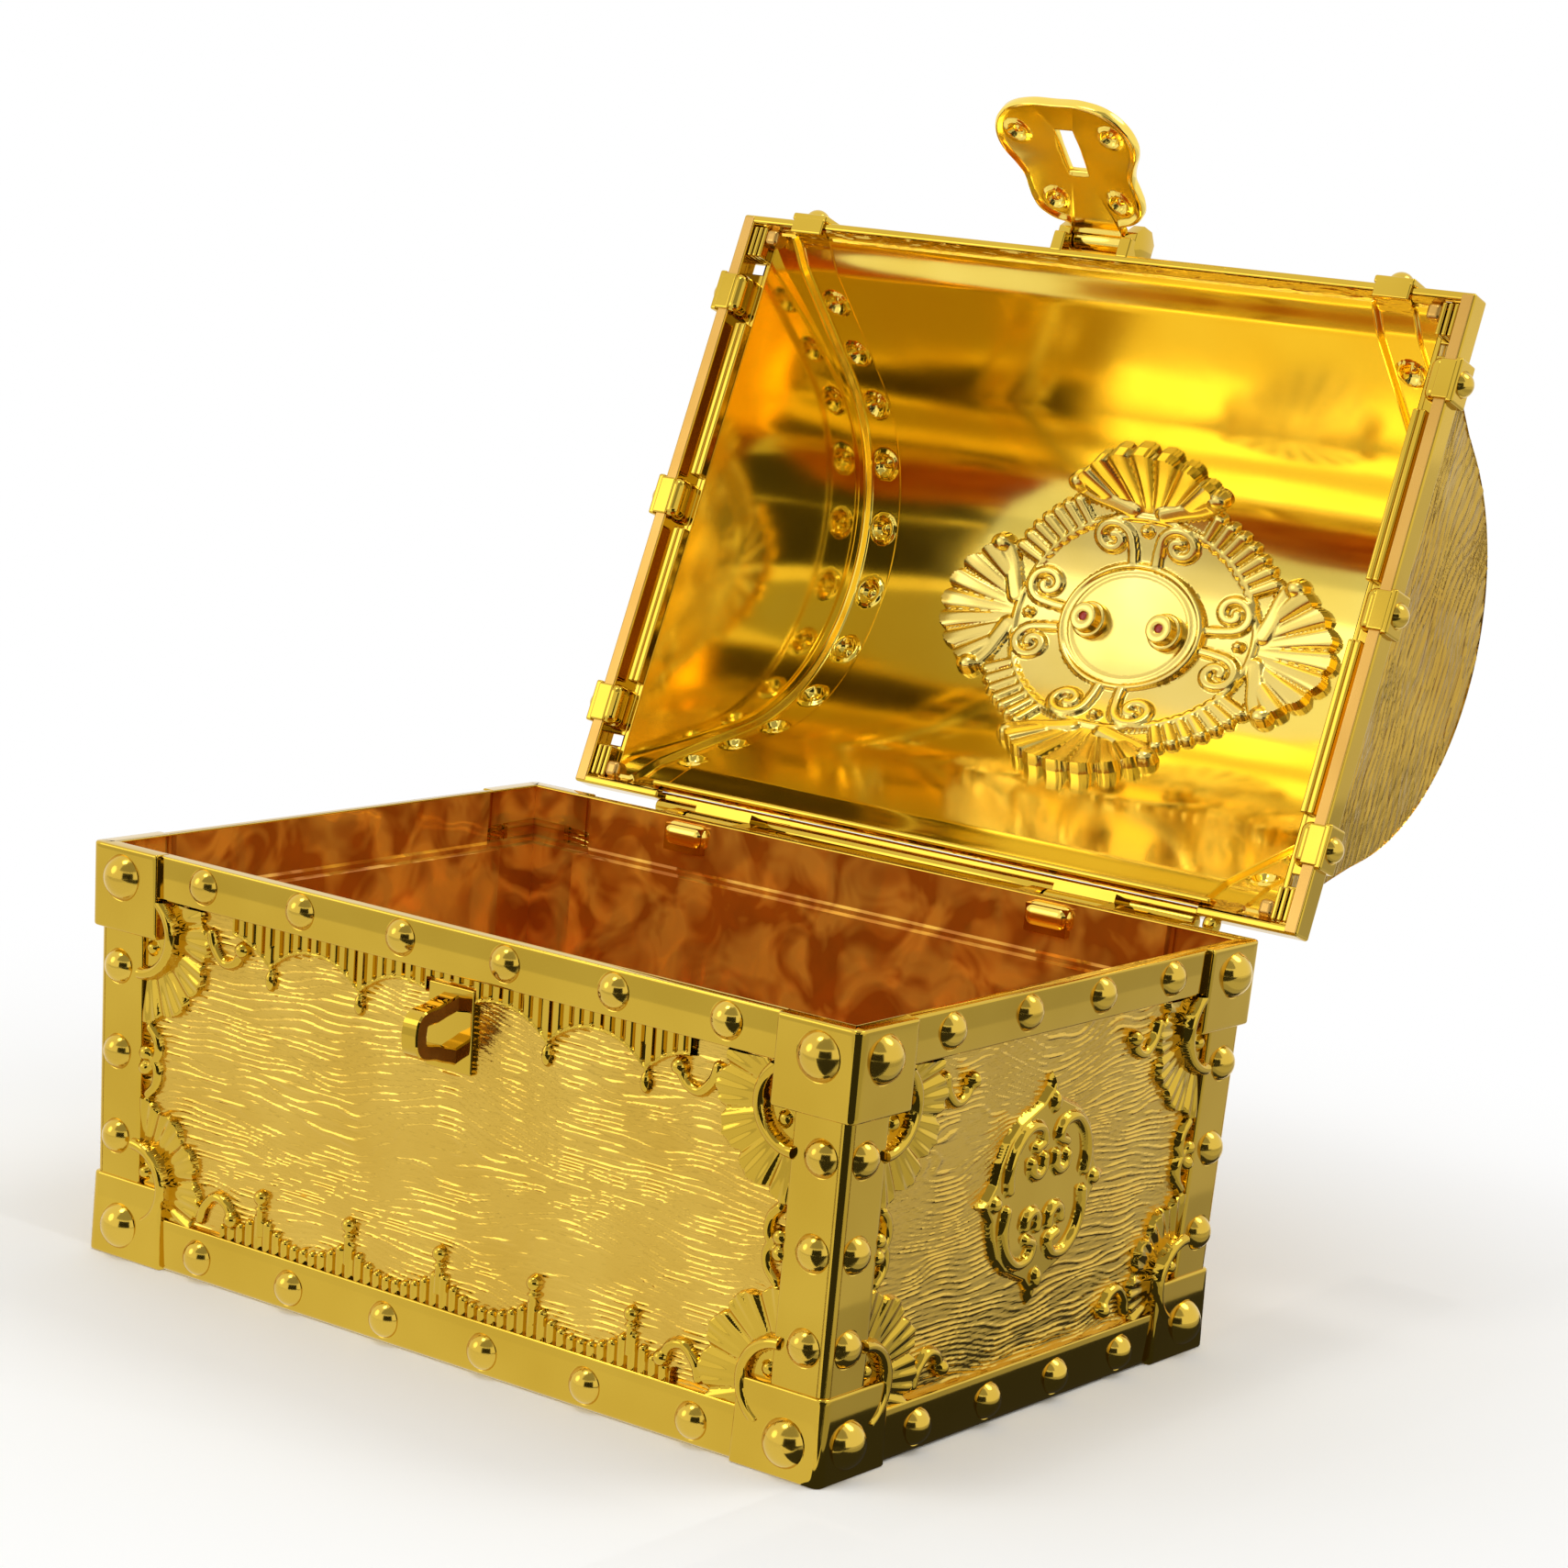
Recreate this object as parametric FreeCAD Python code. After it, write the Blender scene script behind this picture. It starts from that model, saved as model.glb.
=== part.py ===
"""Treasure chest box: a drafted tub with banded, studded trim, a barrel lid on two rear hinges,
and a slotted hasp that drops over a staple on the front.

Frame: +X to the right along the front, +Y to the back, +Z up. The origin is the middle of the
underside. The lid is drawn shut and then turned to its open stop, with the hasp leaning forward.
All lengths are in millimetres.
"""
import FreeCAD, Part
import math
import os
from FreeCAD import Rotation, Vector

# Overall sizes of the tub, measured over the corner caps at the rim
base_width = 150.0
base_depth = 107.5
base_height = 66.5
draft_angle = 1.52

# Build-up of the tub's wall, from the cap faces inwards
cap_proud = 1.0
trim_proud = 1.3
tub_wall = 1.8
rim_wall = 0.7
floor_thickness = 2.2
ledge_drop = 9.0
ledge_slope_height = 2.2

# Bands, posts and caps
top_band_height = 7.2
bottom_band_height = 8.3
post_reach = 10.6
upper_cap_reach = 14.3
upper_cap_height = 13.5
lower_cap_reach = 16.1
lower_cap_height = 13.0
lower_cap_top_inset = 0.6
lower_cap_foot_inset = 0.15
edge_round = 1.2
upright_share = 0.99

# Studs on the tub
stud_radius = 2.8
stud_height = 1.9
corner_stud_radius = 3.65
corner_stud_height = 2.4
front_stud_count = 6
side_stud_count = 4
post_stud_count = 3
front_top_margin = 23.75
front_bottom_margin = 25.5
side_top_margin = 24.1
side_bottom_margin = 26.6
top_stud_drop = 3.4
bottom_stud_rise = 3.8
post_stud_low_gap = 6.5
post_stud_high_gap = 5.9
post_stud_setback = 4.4
upper_corner_setback = 6.7
upper_corner_drop = 4.9
lower_corner_setback = 6.9
lower_corner_rise = 5.1

# Relief ornament on the panels
fan_radius = 14.6
fan_proud = 1.0
fringe_proud = 0.7
fringe_fan_gap = 4.8
fringe_pendants = 5
fringe_tip_depth = 6.8
fringe_arch_depth = 3.2
fringe_end_margin = 8.0
plaque_half_width = 17.5
plaque_half_height = 18.2
plaque_proud = 1.2
plaque_rise = 0.8
plaque_waist_share = 0.36
plaque_shoulder_share = 0.70

# Staple on the front panel
staple_side_gap = 0.3
staple_end_gap = 0.6
staple_reach = 10.0
staple_wire = 1.5
staple_plate_width = 9.0
staple_plate_height = 13.0
staple_plate_proud = 0.9

# Lid hinges
hinge_share = 0.25
hinge_back = 5.25
hinge_drop = 3.5
open_angle = 110.0
eye_radius = 3.0
ear_thickness = 3.0
knuckle_width = 12.0
knuckle_side_gap = 0.3
hinge_pin_radius = 1.2
pin_press_gap = 0.02
pin_running_gap = 0.08
bracket_plate = 1.5
bracket_edge_margin = 0.5
boss_width = 8.0
boss_height = 4.6
boss_reach = 1.4
boss_gap = 0.15
knuckle_arm = 2.6

# Lid shell, measured shut, upwards from its rim plane
lid_side_overhang = 0.0
lid_front_overhang = 0.75
lid_seam = 0.8
rim_height = 4.5
rear_relief_depth = 1.5
rear_relief_margin = 19.0
rear_relief_inset = 2.6
rear_roll_radius = 1.45
rear_roll_back = 1.1
rear_roll_rise = 1.7
end_setback = 8.35
lid_wall = 1.8
vault_height = 51.2
vault_setback = 1.5
crown_share = 0.78
crown_half_angle = 60.0
lid_rim_wall = 1.5
lid_rim_plate = 1.2

# Lid straps, clips and channel ribs
strap_end_gap = 3.35
strap_width = 7.1
strap_proud = 1.0
strap_stud_count = 11
strap_stud_margin = 15.9
clip_width = 9.0
clip_plate = 1.2
clip_under = 0.6
clip_foot_depth = 2.6
clip_corner_margin = 15.0
clip_stud_radius = 2.6
clip_stud_height = 1.7
rib_radius = 1.2
rib_end_gap = 0.5

# Crest and jewel at the crown of the lid
crest_length_share = 0.64
crest_width_share = 0.566
crest_proud = 1.5
crest_disc_radius = 14.5
crest_disc_drop = 0.4
post_spacing = 16.1
post_step_radius = 3.5
post_step_height = 1.6
post_tip_radius = 2.7
post_tip_height = 2.0
jewel_half_length = 13.0
jewel_half_width = 8.5
jewel_height = 4.6
jewel_seat_margin = 2.2
jewel_seat_height = 1.2
peg_radius = 1.0
peg_gap = 0.1
peg_recess = 0.9

# Hasp on the lid's front edge
hasp_pivot_reach = 3.2
hasp_pivot_rise = 4.3
hasp_lean_angle = 29.0
hasp_thickness = 1.6
hasp_length = 31.0
hasp_half_width = 14.0
hasp_neck_gap = 0.3
hasp_lobe_half = 11.2
hasp_lobe_drop = 9.8
hasp_notch_half = 11.1
hasp_notch_drop = 14.6
hasp_belly_drop = 22.5
hasp_toe_half = 8.6
hasp_toe_rise = 1.4
slot_width = 3.6
slot_length = 8.8
slot_drop = 20.3
hasp_knuckle_width = 10.4
hasp_knuckle_radius = 2.3
hasp_lug_thickness = 2.5
hasp_lug_radius = 3.4
hasp_lug_sides = 8
hasp_lug_gap = 0.3
hasp_pin_radius = 1.0
hasp_stud_radius = 2.2
hasp_stud_height = 1.1
hasp_upper_stud_half = 6.5
hasp_upper_stud_drop = 9.7
hasp_lower_stud_half = 9.4
hasp_lower_stud_drop = 24.2

# One overrun for every cut
overrun = 5.0

# Places worked out from the sizes above
draft = math.tan(math.radians(draft_angle))
trim_inset = cap_proud
panel_inset = cap_proud + trim_proud
inner_inset = panel_inset + tub_wall
rim_inset = panel_inset + rim_wall
top_band_low = base_height - top_band_height
upper_cap_low = base_height - upper_cap_height
ledge_top = base_height - ledge_drop
ledge_low = ledge_top - ledge_slope_height
post_stud_low = lower_cap_height + post_stud_low_gap
post_stud_high = upper_cap_low - post_stud_high_gap
fringe_half = base_width / 2 - post_reach - fan_radius - fringe_fan_gap
plaque_middle = (bottom_band_height + top_band_low) / 2 + plaque_rise
hinge_station = base_width * hinge_share
hinge_y = base_depth / 2 + hinge_back
hinge_z = base_height - hinge_drop
lid_width = base_width + 2 * lid_side_overhang
lid_depth = base_depth + 2 * lid_front_overhang
rim_z = base_height + lid_seam
rear_relief_half = lid_width / 2 - rear_relief_margin
end_outer = lid_width / 2 - end_setback
end_inner = end_outer - lid_wall
vault_half_span = lid_depth / 2 - vault_setback
crown_radius = vault_half_span * crown_share
strap_inner = end_outer - strap_end_gap - strap_width
clip_side_pitch = lid_depth / 2 - clip_corner_margin
clip_front_station = lid_width / 2 - clip_corner_margin
crest_half_length = end_inner * crest_length_share
crest_half_width = vault_half_span * crest_width_share
pivot_y = -lid_depth / 2 - hasp_pivot_reach
pivot_z = rim_z + hasp_pivot_rise
hasp_neck_length = hasp_pivot_rise + hasp_neck_gap
channel_outer = lid_width / 2 - lid_rim_wall
channel_top = rim_z + rim_height - lid_rim_plate
rib_middle = (end_outer + channel_outer) / 2
staple_middle = pivot_z - slot_drop
staple_width = slot_width - 2 * staple_side_gap
staple_height = slot_length - 2 * staple_end_gap
ALL_CORNERS = ((-1, -1), (1, -1), (1, 1), (-1, 1))


def plane_half(size, inset, z):
    """Half of an overall size at height z, the given inset inside the drafted cap planes."""
    return size / 2 - inset - (base_height - z) * draft


def block(inset_low, z_low, inset_high, z_high):
    """Drafted four-sided block between two heights, each with its own inset."""
    wires = []
    for inset, z in ((inset_low, z_low), (inset_high, z_high)):
        hx = plane_half(base_width, inset, z)
        hy = plane_half(base_depth, inset, z)
        corners = [Vector(sx * hx, sy * hy, z) for sx, sy in ALL_CORNERS]
        wires.append(Part.makePolygon(corners + corners[:1]))
    return Part.makeLoft(wires, True, True)


def skin(inset_out, inset_in, z_low, z_high):
    """Drafted ring between two insets and two heights."""
    outer = block(inset_out, z_low, inset_out, z_high)
    return outer.cut(block(inset_in, z_low - overrun, inset_in, z_high + overrun))


def box_between(low, high):
    """Box from its lowest to its highest corner."""
    return Part.makeBox(high[0] - low[0], high[1] - low[1], high[2] - low[2], Vector(*low))


def corner_box(sx, sy, reach, z_low, z_high):
    """Box over one corner that reaches in from the overall size on both faces."""
    x_in = base_width / 2 - reach
    y_in = base_depth / 2 - reach
    xs = sorted((sx * x_in, sx * base_width))
    ys = sorted((sy * y_in, sy * base_depth))
    return box_between((xs[0], ys[0], z_low), (xs[1], ys[1], z_high))


def rod(radius, half, y, z, x_middle=0):
    """Round rod along X, centred on x_middle."""
    return Part.makeCylinder(radius, 2 * half, Vector(x_middle - half, y, z), Vector(1, 0, 0))


def only_solid(shape):
    """The one solid of a fused or cut shape, with its seams cleaned up."""
    return shape.removeSplitter().Solids[0]


def largest(shape):
    """The biggest solid of a shape that was cut into several."""
    return max(shape.Solids, key=lambda solid: solid.Volume)


def round_corner_edges(shape, sx, sy):
    """Round the upright edge at a corner piece's outermost corner."""
    def reach(edge):
        return min(sx * v.X + sy * v.Y for v in edge.Vertexes)

    upright = [edge for edge in shape.Edges if abs(edge.tangentAt(edge.FirstParameter).z) > upright_share]
    return shape.makeFillet(edge_round, [max(upright, key=reach)])


def dome(radius, height):
    """Round-headed stud: a cap of a sphere standing on its flat face."""
    sphere = (radius * radius + height * height) / (2 * height)
    half = math.asin(radius / sphere) / 2
    shoulder = Vector(sphere * math.sin(half), 0, height - sphere + sphere * math.cos(half))
    rim, top, foot = Vector(radius, 0, 0), Vector(0, 0, height), Vector(0, 0, 0)
    curve = Part.Arc(rim, shoulder, top).toShape()
    wire = Part.Wire([curve, Part.LineSegment(top, foot).toShape(), Part.LineSegment(foot, rim).toShape()])
    return Part.Face(wire).revolve(foot, Vector(0, 0, 1), 360)


def planted(shape, point, normal):
    """Copy of a shape drawn along +Z, stood on a point along a normal."""
    copy = shape.copy()
    copy.Placement = FreeCAD.Placement(point, Rotation(Vector(0, 0, 1), normal))
    return copy


def wall_normal(axis, sign):
    """Outward normal of a drafted wall that faces along X (axis 0) or Y (axis 1)."""
    slant = math.radians(draft_angle)
    across = sign * math.cos(slant)
    return Vector(across if axis == 0 else 0, across if axis == 1 else 0, -math.sin(slant))


def wall_point(axis, sign, along, z, inset):
    """Point on a drafted wall at a distance along it and a height."""
    if axis == 0:
        return Vector(sign * plane_half(base_width, inset, z), along, z)
    return Vector(along, sign * plane_half(base_depth, inset, z), z)


def spread(count, low, high):
    """Evenly spaced places from the lowest to the highest."""
    return [low + (high - low) * k / (count - 1) for k in range(count)]


def centred(count, half):
    """Evenly spaced places from minus to plus a half length."""
    return spread(count, -half, half)


def hinge_span():
    """Half width of a hinge bracket: half the knuckle, its gap and one ear."""
    return knuckle_width / 2 + knuckle_side_gap + ear_thickness


def make_tub():
    """Open tub with a sloped ledge inside, where the wall steps out behind the top band."""
    tub = block(panel_inset, 0, panel_inset, base_height)
    tub = tub.cut(block(inner_inset, floor_thickness, inner_inset, ledge_low))
    tub = tub.cut(block(inner_inset, ledge_low, rim_inset, ledge_top))
    tub = tub.cut(block(rim_inset, ledge_top, rim_inset, base_height + overrun))
    for side in (-1, 1):
        tub = tub.cut(boss_shape(side, boss_gap))
    return only_solid(tub)


def boss_shape(side, gap):
    """Snap boss of a hinge bracket, or with a gap the window it goes through."""
    middle = side * hinge_station
    inside = plane_half(base_depth, rim_inset, hinge_z) - boss_reach
    outside = plane_half(base_depth, trim_inset, hinge_z) + gap
    low = (middle - boss_width / 2 - gap, inside - gap, hinge_z - boss_height / 2 - gap)
    high = (middle + boss_width / 2 + gap, outside, hinge_z + boss_height / 2 + gap)
    return box_between(low, high)


def make_top_band():
    """Band round the rim, with a window for each hinge boss."""
    band = skin(trim_inset, panel_inset, top_band_low, base_height)
    for side in (-1, 1):
        band = band.cut(boss_shape(side, boss_gap))
    return only_solid(band)


def make_bottom_band():
    """Band round the foot."""
    return only_solid(skin(trim_inset, panel_inset, 0, bottom_band_height))


def make_posts():
    """Angle posts that run up the four corners between the bands."""
    return [round_corner_edges(post_core(sx, sy), sx, sy) for sx, sy in ALL_CORNERS]


def make_caps(outer, reach, z_low, z_high, under):
    """Corner caps cut from an outer block, hollowed to sit over the trim under them."""
    inner = block(panel_inset, -overrun, panel_inset, base_height + overrun)
    caps = []
    for sx, sy in ALL_CORNERS:
        cap = outer.common(corner_box(sx, sy, reach, z_low, z_high)).cut(inner)
        for piece in under:
            cap = cap.cut(piece)
        caps.append(round_corner_edges(only_solid(cap), sx, sy))
    return caps


def make_upper_caps(band):
    """Caps over the four rim corners."""
    outer = block(0, upper_cap_low, 0, base_height)
    cores = [post_core(sx, sy) for sx, sy in ALL_CORNERS]
    return make_caps(outer, upper_cap_reach, upper_cap_low, base_height, [band] + cores)


def make_lower_caps(band):
    """Caps over the four foot corners, flaring a little towards the floor."""
    outer = block(lower_cap_foot_inset, 0, lower_cap_top_inset, lower_cap_height)
    cores = [post_core(sx, sy) for sx, sy in ALL_CORNERS]
    return make_caps(outer, lower_cap_reach, 0, lower_cap_height, [band] + cores)


def post_core(sx, sy):
    """A post with its corner left sharp, as the space that the caps keep clear."""
    ring = skin(trim_inset, panel_inset, bottom_band_height, top_band_low)
    return only_solid(ring.common(corner_box(sx, sy, post_reach, 0, base_height)))


def clears_hinges(axis, sign, along):
    """Whether a top-band stud at this place stays off the hinge brackets at the back."""
    at_back = axis == 1 and sign == 1
    return not at_back or abs(abs(along) - hinge_station) > hinge_span() + stud_radius


def make_band_studs():
    """Rows of studs on the top and bottom bands of all four sides."""
    stud = dome(stud_radius, stud_height)
    top = base_height - top_stud_drop
    low = bottom_stud_rise
    rows = []
    for sign in (-1, 1):
        rows.append((1, sign, centred(front_stud_count, base_width / 2 - front_top_margin), top))
        rows.append((1, sign, centred(front_stud_count, base_width / 2 - front_bottom_margin), low))
        rows.append((0, sign, centred(side_stud_count, base_depth / 2 - side_top_margin), top))
        rows.append((0, sign, centred(side_stud_count, base_depth / 2 - side_bottom_margin), low))
    studs = []
    for axis, sign, places, z in rows:
        for along in places:
            if z == low or clears_hinges(axis, sign, along):
                point = wall_point(axis, sign, along, z, trim_inset)
                studs.append(planted(stud, point, wall_normal(axis, sign)))
    return studs


def wall_half(axis, inset, z):
    """Half width of the wall that faces along the given axis."""
    return plane_half(base_depth if axis == 0 else base_width, inset, z)


def make_post_studs():
    """Three studs up each face of each corner post."""
    stud = dome(stud_radius, stud_height)
    studs = []
    for axis in (0, 1):
        for sign in (-1, 1):
            for end in (-1, 1):
                for z in spread(post_stud_count, post_stud_low, post_stud_high):
                    along = end * (wall_half(axis, trim_inset, z) - post_stud_setback)
                    point = wall_point(axis, sign, along, z, trim_inset)
                    studs.append(planted(stud, point, wall_normal(axis, sign)))
    return studs


def make_corner_studs():
    """One large stud on each face of each cap."""
    stud = dome(corner_stud_radius, corner_stud_height)
    spread_out = lower_cap_foot_inset - lower_cap_top_inset
    flare = math.atan2(spread_out, lower_cap_height) + math.radians(draft_angle)
    studs = []
    for axis in (0, 1):
        for sign in (-1, 1):
            for end in (-1, 1):
                z = base_height - upper_corner_drop
                along = end * (wall_half(axis, 0, z) - upper_corner_setback)
                point = wall_point(axis, sign, along, z, 0)
                studs.append(planted(stud, point, wall_normal(axis, sign)))
                z = lower_corner_rise
                share = z / lower_cap_height
                inset = lower_cap_foot_inset + (lower_cap_top_inset - lower_cap_foot_inset) * share
                along = end * (wall_half(axis, inset, z) - lower_corner_setback)
                across = sign * math.cos(flare)
                normal = Vector(across if axis == 0 else 0, across if axis == 1 else 0, -math.sin(flare))
                studs.append(planted(stud, wall_point(axis, sign, along, z, inset), normal))
    return studs


def make_fans(covers):
    """Shell fans in the four corners of each panel, as quarter plates against caps, posts and bands."""
    ring = skin(panel_inset - fan_proud, panel_inset, 0, base_height)
    fans = []
    for axis in (0, 1):
        for sign in (-1, 1):
            for end in (-1, 1):
                for z in (upper_cap_low, lower_cap_height):
                    sx, sy = (sign, end) if axis == 0 else (end, sign)
                    start = Vector(sx * (base_width / 2 - post_reach), sy * (base_depth / 2 - post_reach), z)
                    way = Vector(sign, 0, 0) if axis == 0 else Vector(0, sign, 0)
                    fan = ring.common(Part.makeCylinder(fan_radius, base_width, start, way))
                    fan = fan.cut(corner_box(sx, sy, post_reach, 0, base_height))
                    for cover in covers:
                        fan = fan.cut(cover)
                    fans.append(largest(fan))
    return fans


def fringe_outline(direction, root):
    """Front outline of a fringe: straight at its band, arches between the hanging or rising tips."""
    places = centred(fringe_pendants, fringe_half - fringe_end_margin)
    tip = root + direction * fringe_tip_depth
    arch = root + direction * fringe_arch_depth
    ends = [-fringe_half, fringe_half]
    points = [Vector(ends[0], 0, root), Vector(ends[0], 0, arch), Vector(places[0], 0, tip)]
    edges = [Part.LineSegment(start, stop).toShape() for start, stop in zip(points[:-1], points[1:])]
    for left, right in zip(places[:-1], places[1:]):
        middle = Vector((left + right) / 2, 0, arch)
        edges.append(Part.Arc(Vector(left, 0, tip), middle, Vector(right, 0, tip)).toShape())
    last = [Vector(places[-1], 0, tip), Vector(ends[1], 0, arch), Vector(ends[1], 0, root), points[0]]
    for start, stop in zip(last[:-1], last[1:]):
        edges.append(Part.LineSegment(start, stop).toShape())
    return Part.Wire(edges)


def make_fringe(direction, root, staple):
    """Comb fringe on the front panel, along the top or the bottom band, cut clear of the staple's plate."""
    plate = Part.Face(fringe_outline(direction, root)).extrude(Vector(0, -base_depth, 0))
    layer = skin(panel_inset - fringe_proud, panel_inset, 0, base_height)
    return largest(layer.common(plate).cut(staple))


def plaque_outline():
    """Four-pointed lozenge in the Y-Z plane, each quarter drawn as three straight runs."""
    waist_y = plaque_half_width * plaque_waist_share
    waist_z = plaque_half_height * plaque_waist_share
    edges = []
    quarter = ((1, 1), (-1, 1), (-1, -1), (1, -1))
    for index, (sy, sz) in enumerate(quarter):
        side_tip = Vector(0, sy * plaque_half_width, plaque_middle)
        crown_tip = Vector(0, 0, plaque_middle + sz * plaque_half_height)
        side_mid = Vector(0, sy * plaque_half_width * plaque_shoulder_share, plaque_middle + sz * waist_z)
        crown_mid = Vector(0, sy * waist_y, plaque_middle + sz * plaque_half_height * plaque_shoulder_share)
        run = [side_tip, side_mid, crown_mid, crown_tip]
        if index % 2:
            run.reverse()
        edges += [Part.LineSegment(a, b).toShape() for a, b in zip(run[:-1], run[1:])]
    return Part.Wire(Part.__sortEdges__(edges))


def make_plaque(side):
    """Raised plaque on a side panel."""
    plate = Part.Face(plaque_outline()).extrude(Vector(side * base_width, 0, 0))
    layer = skin(panel_inset - plaque_proud, panel_inset, 0, base_height)
    return only_solid(layer.common(plate))


def make_staple():
    """Closed loop on a back plate; the hole runs along X, so a lock's shackle passes sideways."""
    wall = -plane_half(base_depth, panel_inset, staple_middle)
    front = wall - staple_reach
    round_radius = staple_height / 2
    loop = loop_profile(wall, front, round_radius)
    hole = loop_profile(wall - staple_plate_proud, front + staple_wire, round_radius - staple_wire)
    loop = loop.cut(hole)
    plate = skin(panel_inset - staple_plate_proud, panel_inset, 0, base_height)
    low = (-staple_plate_width / 2, -base_depth, staple_middle - staple_plate_height / 2)
    high = (staple_plate_width / 2, 0, staple_middle + staple_plate_height / 2)
    plate = plate.common(box_between(low, high))
    staple = loop.fuse(plate)
    return only_solid(staple.cut(block(panel_inset, 0, panel_inset, base_height)))


def loop_profile(wall, front, half):
    """Bar across the staple's width: straight from the wall, with a half-round front end."""
    middle = front + half
    box = box_between((-staple_width / 2, middle, staple_middle - half),
                      (staple_width / 2, wall + trim_proud, staple_middle + half))
    return box.fuse(rod(half, staple_width / 2, middle, staple_middle))


def make_hinge_bracket(side):
    """Bracket on the top band's back: plate, two eyed ears, and a boss that snaps through the wall."""
    middle = side * hinge_station
    half = hinge_span()
    layer = skin(trim_inset - bracket_plate, trim_inset, top_band_low, base_height)
    low = (middle - half, 0, top_band_low + bracket_edge_margin)
    high = (middle + half, base_depth, base_height - bracket_edge_margin)
    bracket = layer.common(box_between(low, high))
    for end in (-1, 1):
        ear_middle = middle + end * (half - ear_thickness / 2)
        ear = rod(eye_radius, ear_thickness / 2, hinge_y, hinge_z, ear_middle)
        low = (ear_middle - ear_thickness / 2, 0, hinge_z - eye_radius)
        high = (ear_middle + ear_thickness / 2, hinge_y, hinge_z + eye_radius)
        bracket = bracket.fuse(ear.fuse(box_between(low, high)))
    bracket = bracket.cut(block(trim_inset, 0, trim_inset, base_height + overrun))
    bracket = bracket.fuse(boss_shape(side, 0))
    bore = rod(hinge_pin_radius + pin_press_gap, half + overrun, hinge_y, hinge_z, middle)
    return only_solid(bracket.cut(bore))


def make_hinge_pin(side):
    """Plain pin through both ears of a bracket."""
    return rod(hinge_pin_radius, hinge_span(), hinge_y, hinge_z, side * hinge_station)


def arch_centres():
    """Centres and radius of the flank arcs that meet the crown arc smoothly and land on the span."""
    angle = math.radians(crown_half_angle)
    joint_y = crown_radius * math.sin(angle)
    joint_z = vault_height - crown_radius + crown_radius * math.cos(angle)
    run_y = vault_half_span - joint_y
    slope = math.sin(angle) * run_y - math.cos(angle) * joint_z
    flank = -(run_y * run_y + joint_z * joint_z) / (2 * slope)
    return joint_y - flank * math.sin(angle), joint_z - flank * math.cos(angle), flank


def arch_point(along, offset):
    """Point and outward direction at a distance along the arch from its crown, for an inward offset."""
    angle = math.radians(crown_half_angle)
    crown = crown_radius - offset
    side = 1 if along >= 0 else -1
    distance = abs(along)
    if distance <= crown * angle:
        turn = distance / crown
        y, z = crown * math.sin(turn), vault_height - crown_radius + crown * math.cos(turn)
    else:
        centre_y, centre_z, flank = arch_centres()
        turn = angle + (distance - crown * angle) / (flank - offset)
        y = centre_y + (flank - offset) * math.sin(turn)
        z = centre_z + (flank - offset) * math.cos(turn)
    return Vector(0, side * y, rim_z + z), Vector(0, side * math.sin(turn), math.cos(turn))


def arch_foot_turn(offset):
    """Angle from the crown at which a flank arc reaches the rim plane."""
    centre_z, flank = arch_centres()[1:]
    return math.acos(-centre_z / (flank - offset))


def arch_half_length(offset):
    """Length along the arch from its crown to the rim plane."""
    angle = math.radians(crown_half_angle)
    flank = arch_centres()[2]
    return (crown_radius - offset) * angle + (flank - offset) * (arch_foot_turn(offset) - angle)


def arch_solid(offset, x_low, x_high):
    """Filled arch between two stations along X, a given distance inside the lid's outer skin."""
    centre_y, _, flank = arch_centres()
    angle = math.radians(crown_half_angle)
    crown = crown_radius - offset
    foot_turn = arch_foot_turn(offset)
    foot_y = centre_y + (flank - offset) * math.sin(foot_turn)
    half_flank = crown * angle + (flank - offset) * (foot_turn - angle) / 2
    marks = [arch_point(s, offset)[0] for s in (-half_flank, -crown * angle, 0, crown * angle, half_flank)]
    left, right = Vector(0, -foot_y, rim_z), Vector(0, foot_y, rim_z)
    edges = [Part.Arc(left, marks[0], marks[1]).toShape(), Part.Arc(marks[1], marks[2], marks[3]).toShape()]
    edges += [Part.Arc(marks[3], marks[4], right).toShape(), Part.LineSegment(right, left).toShape()]
    solid = Part.Face(Part.Wire(edges)).extrude(Vector(x_high - x_low, 0, 0))
    solid.translate(Vector(x_low, 0, 0))
    return solid


def peg_holes(radius):
    """The two upright peg lines at the crown, as long rods to cut with."""
    height = vault_height + overrun
    return [Part.makeCylinder(radius, 2 * height, Vector(side * post_spacing / 2, 0, rim_z))
            for side in (-1, 1)]


def make_vault():
    """Barrel shell of the lid between its end plates."""
    shell = arch_solid(0, -end_inner, end_inner).cut(arch_solid(lid_wall, -end_inner, end_inner))
    for hole in peg_holes(peg_radius + peg_gap):
        shell = shell.cut(hole)
    return only_solid(shell)


def make_lid_end(side):
    """D-shaped end plate of the barrel."""
    stations = sorted((side * end_inner, side * end_outer))
    return only_solid(arch_solid(0, stations[0], stations[1]))


def knuckle_arm_box(side):
    """Arm of a lid knuckle, up the back of the rim."""
    middle = side * hinge_station
    half = knuckle_width / 2
    back = lid_depth / 2
    return box_between((middle - half, back, hinge_z), (middle + half, back + knuckle_arm, rim_z + rim_height))


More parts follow.
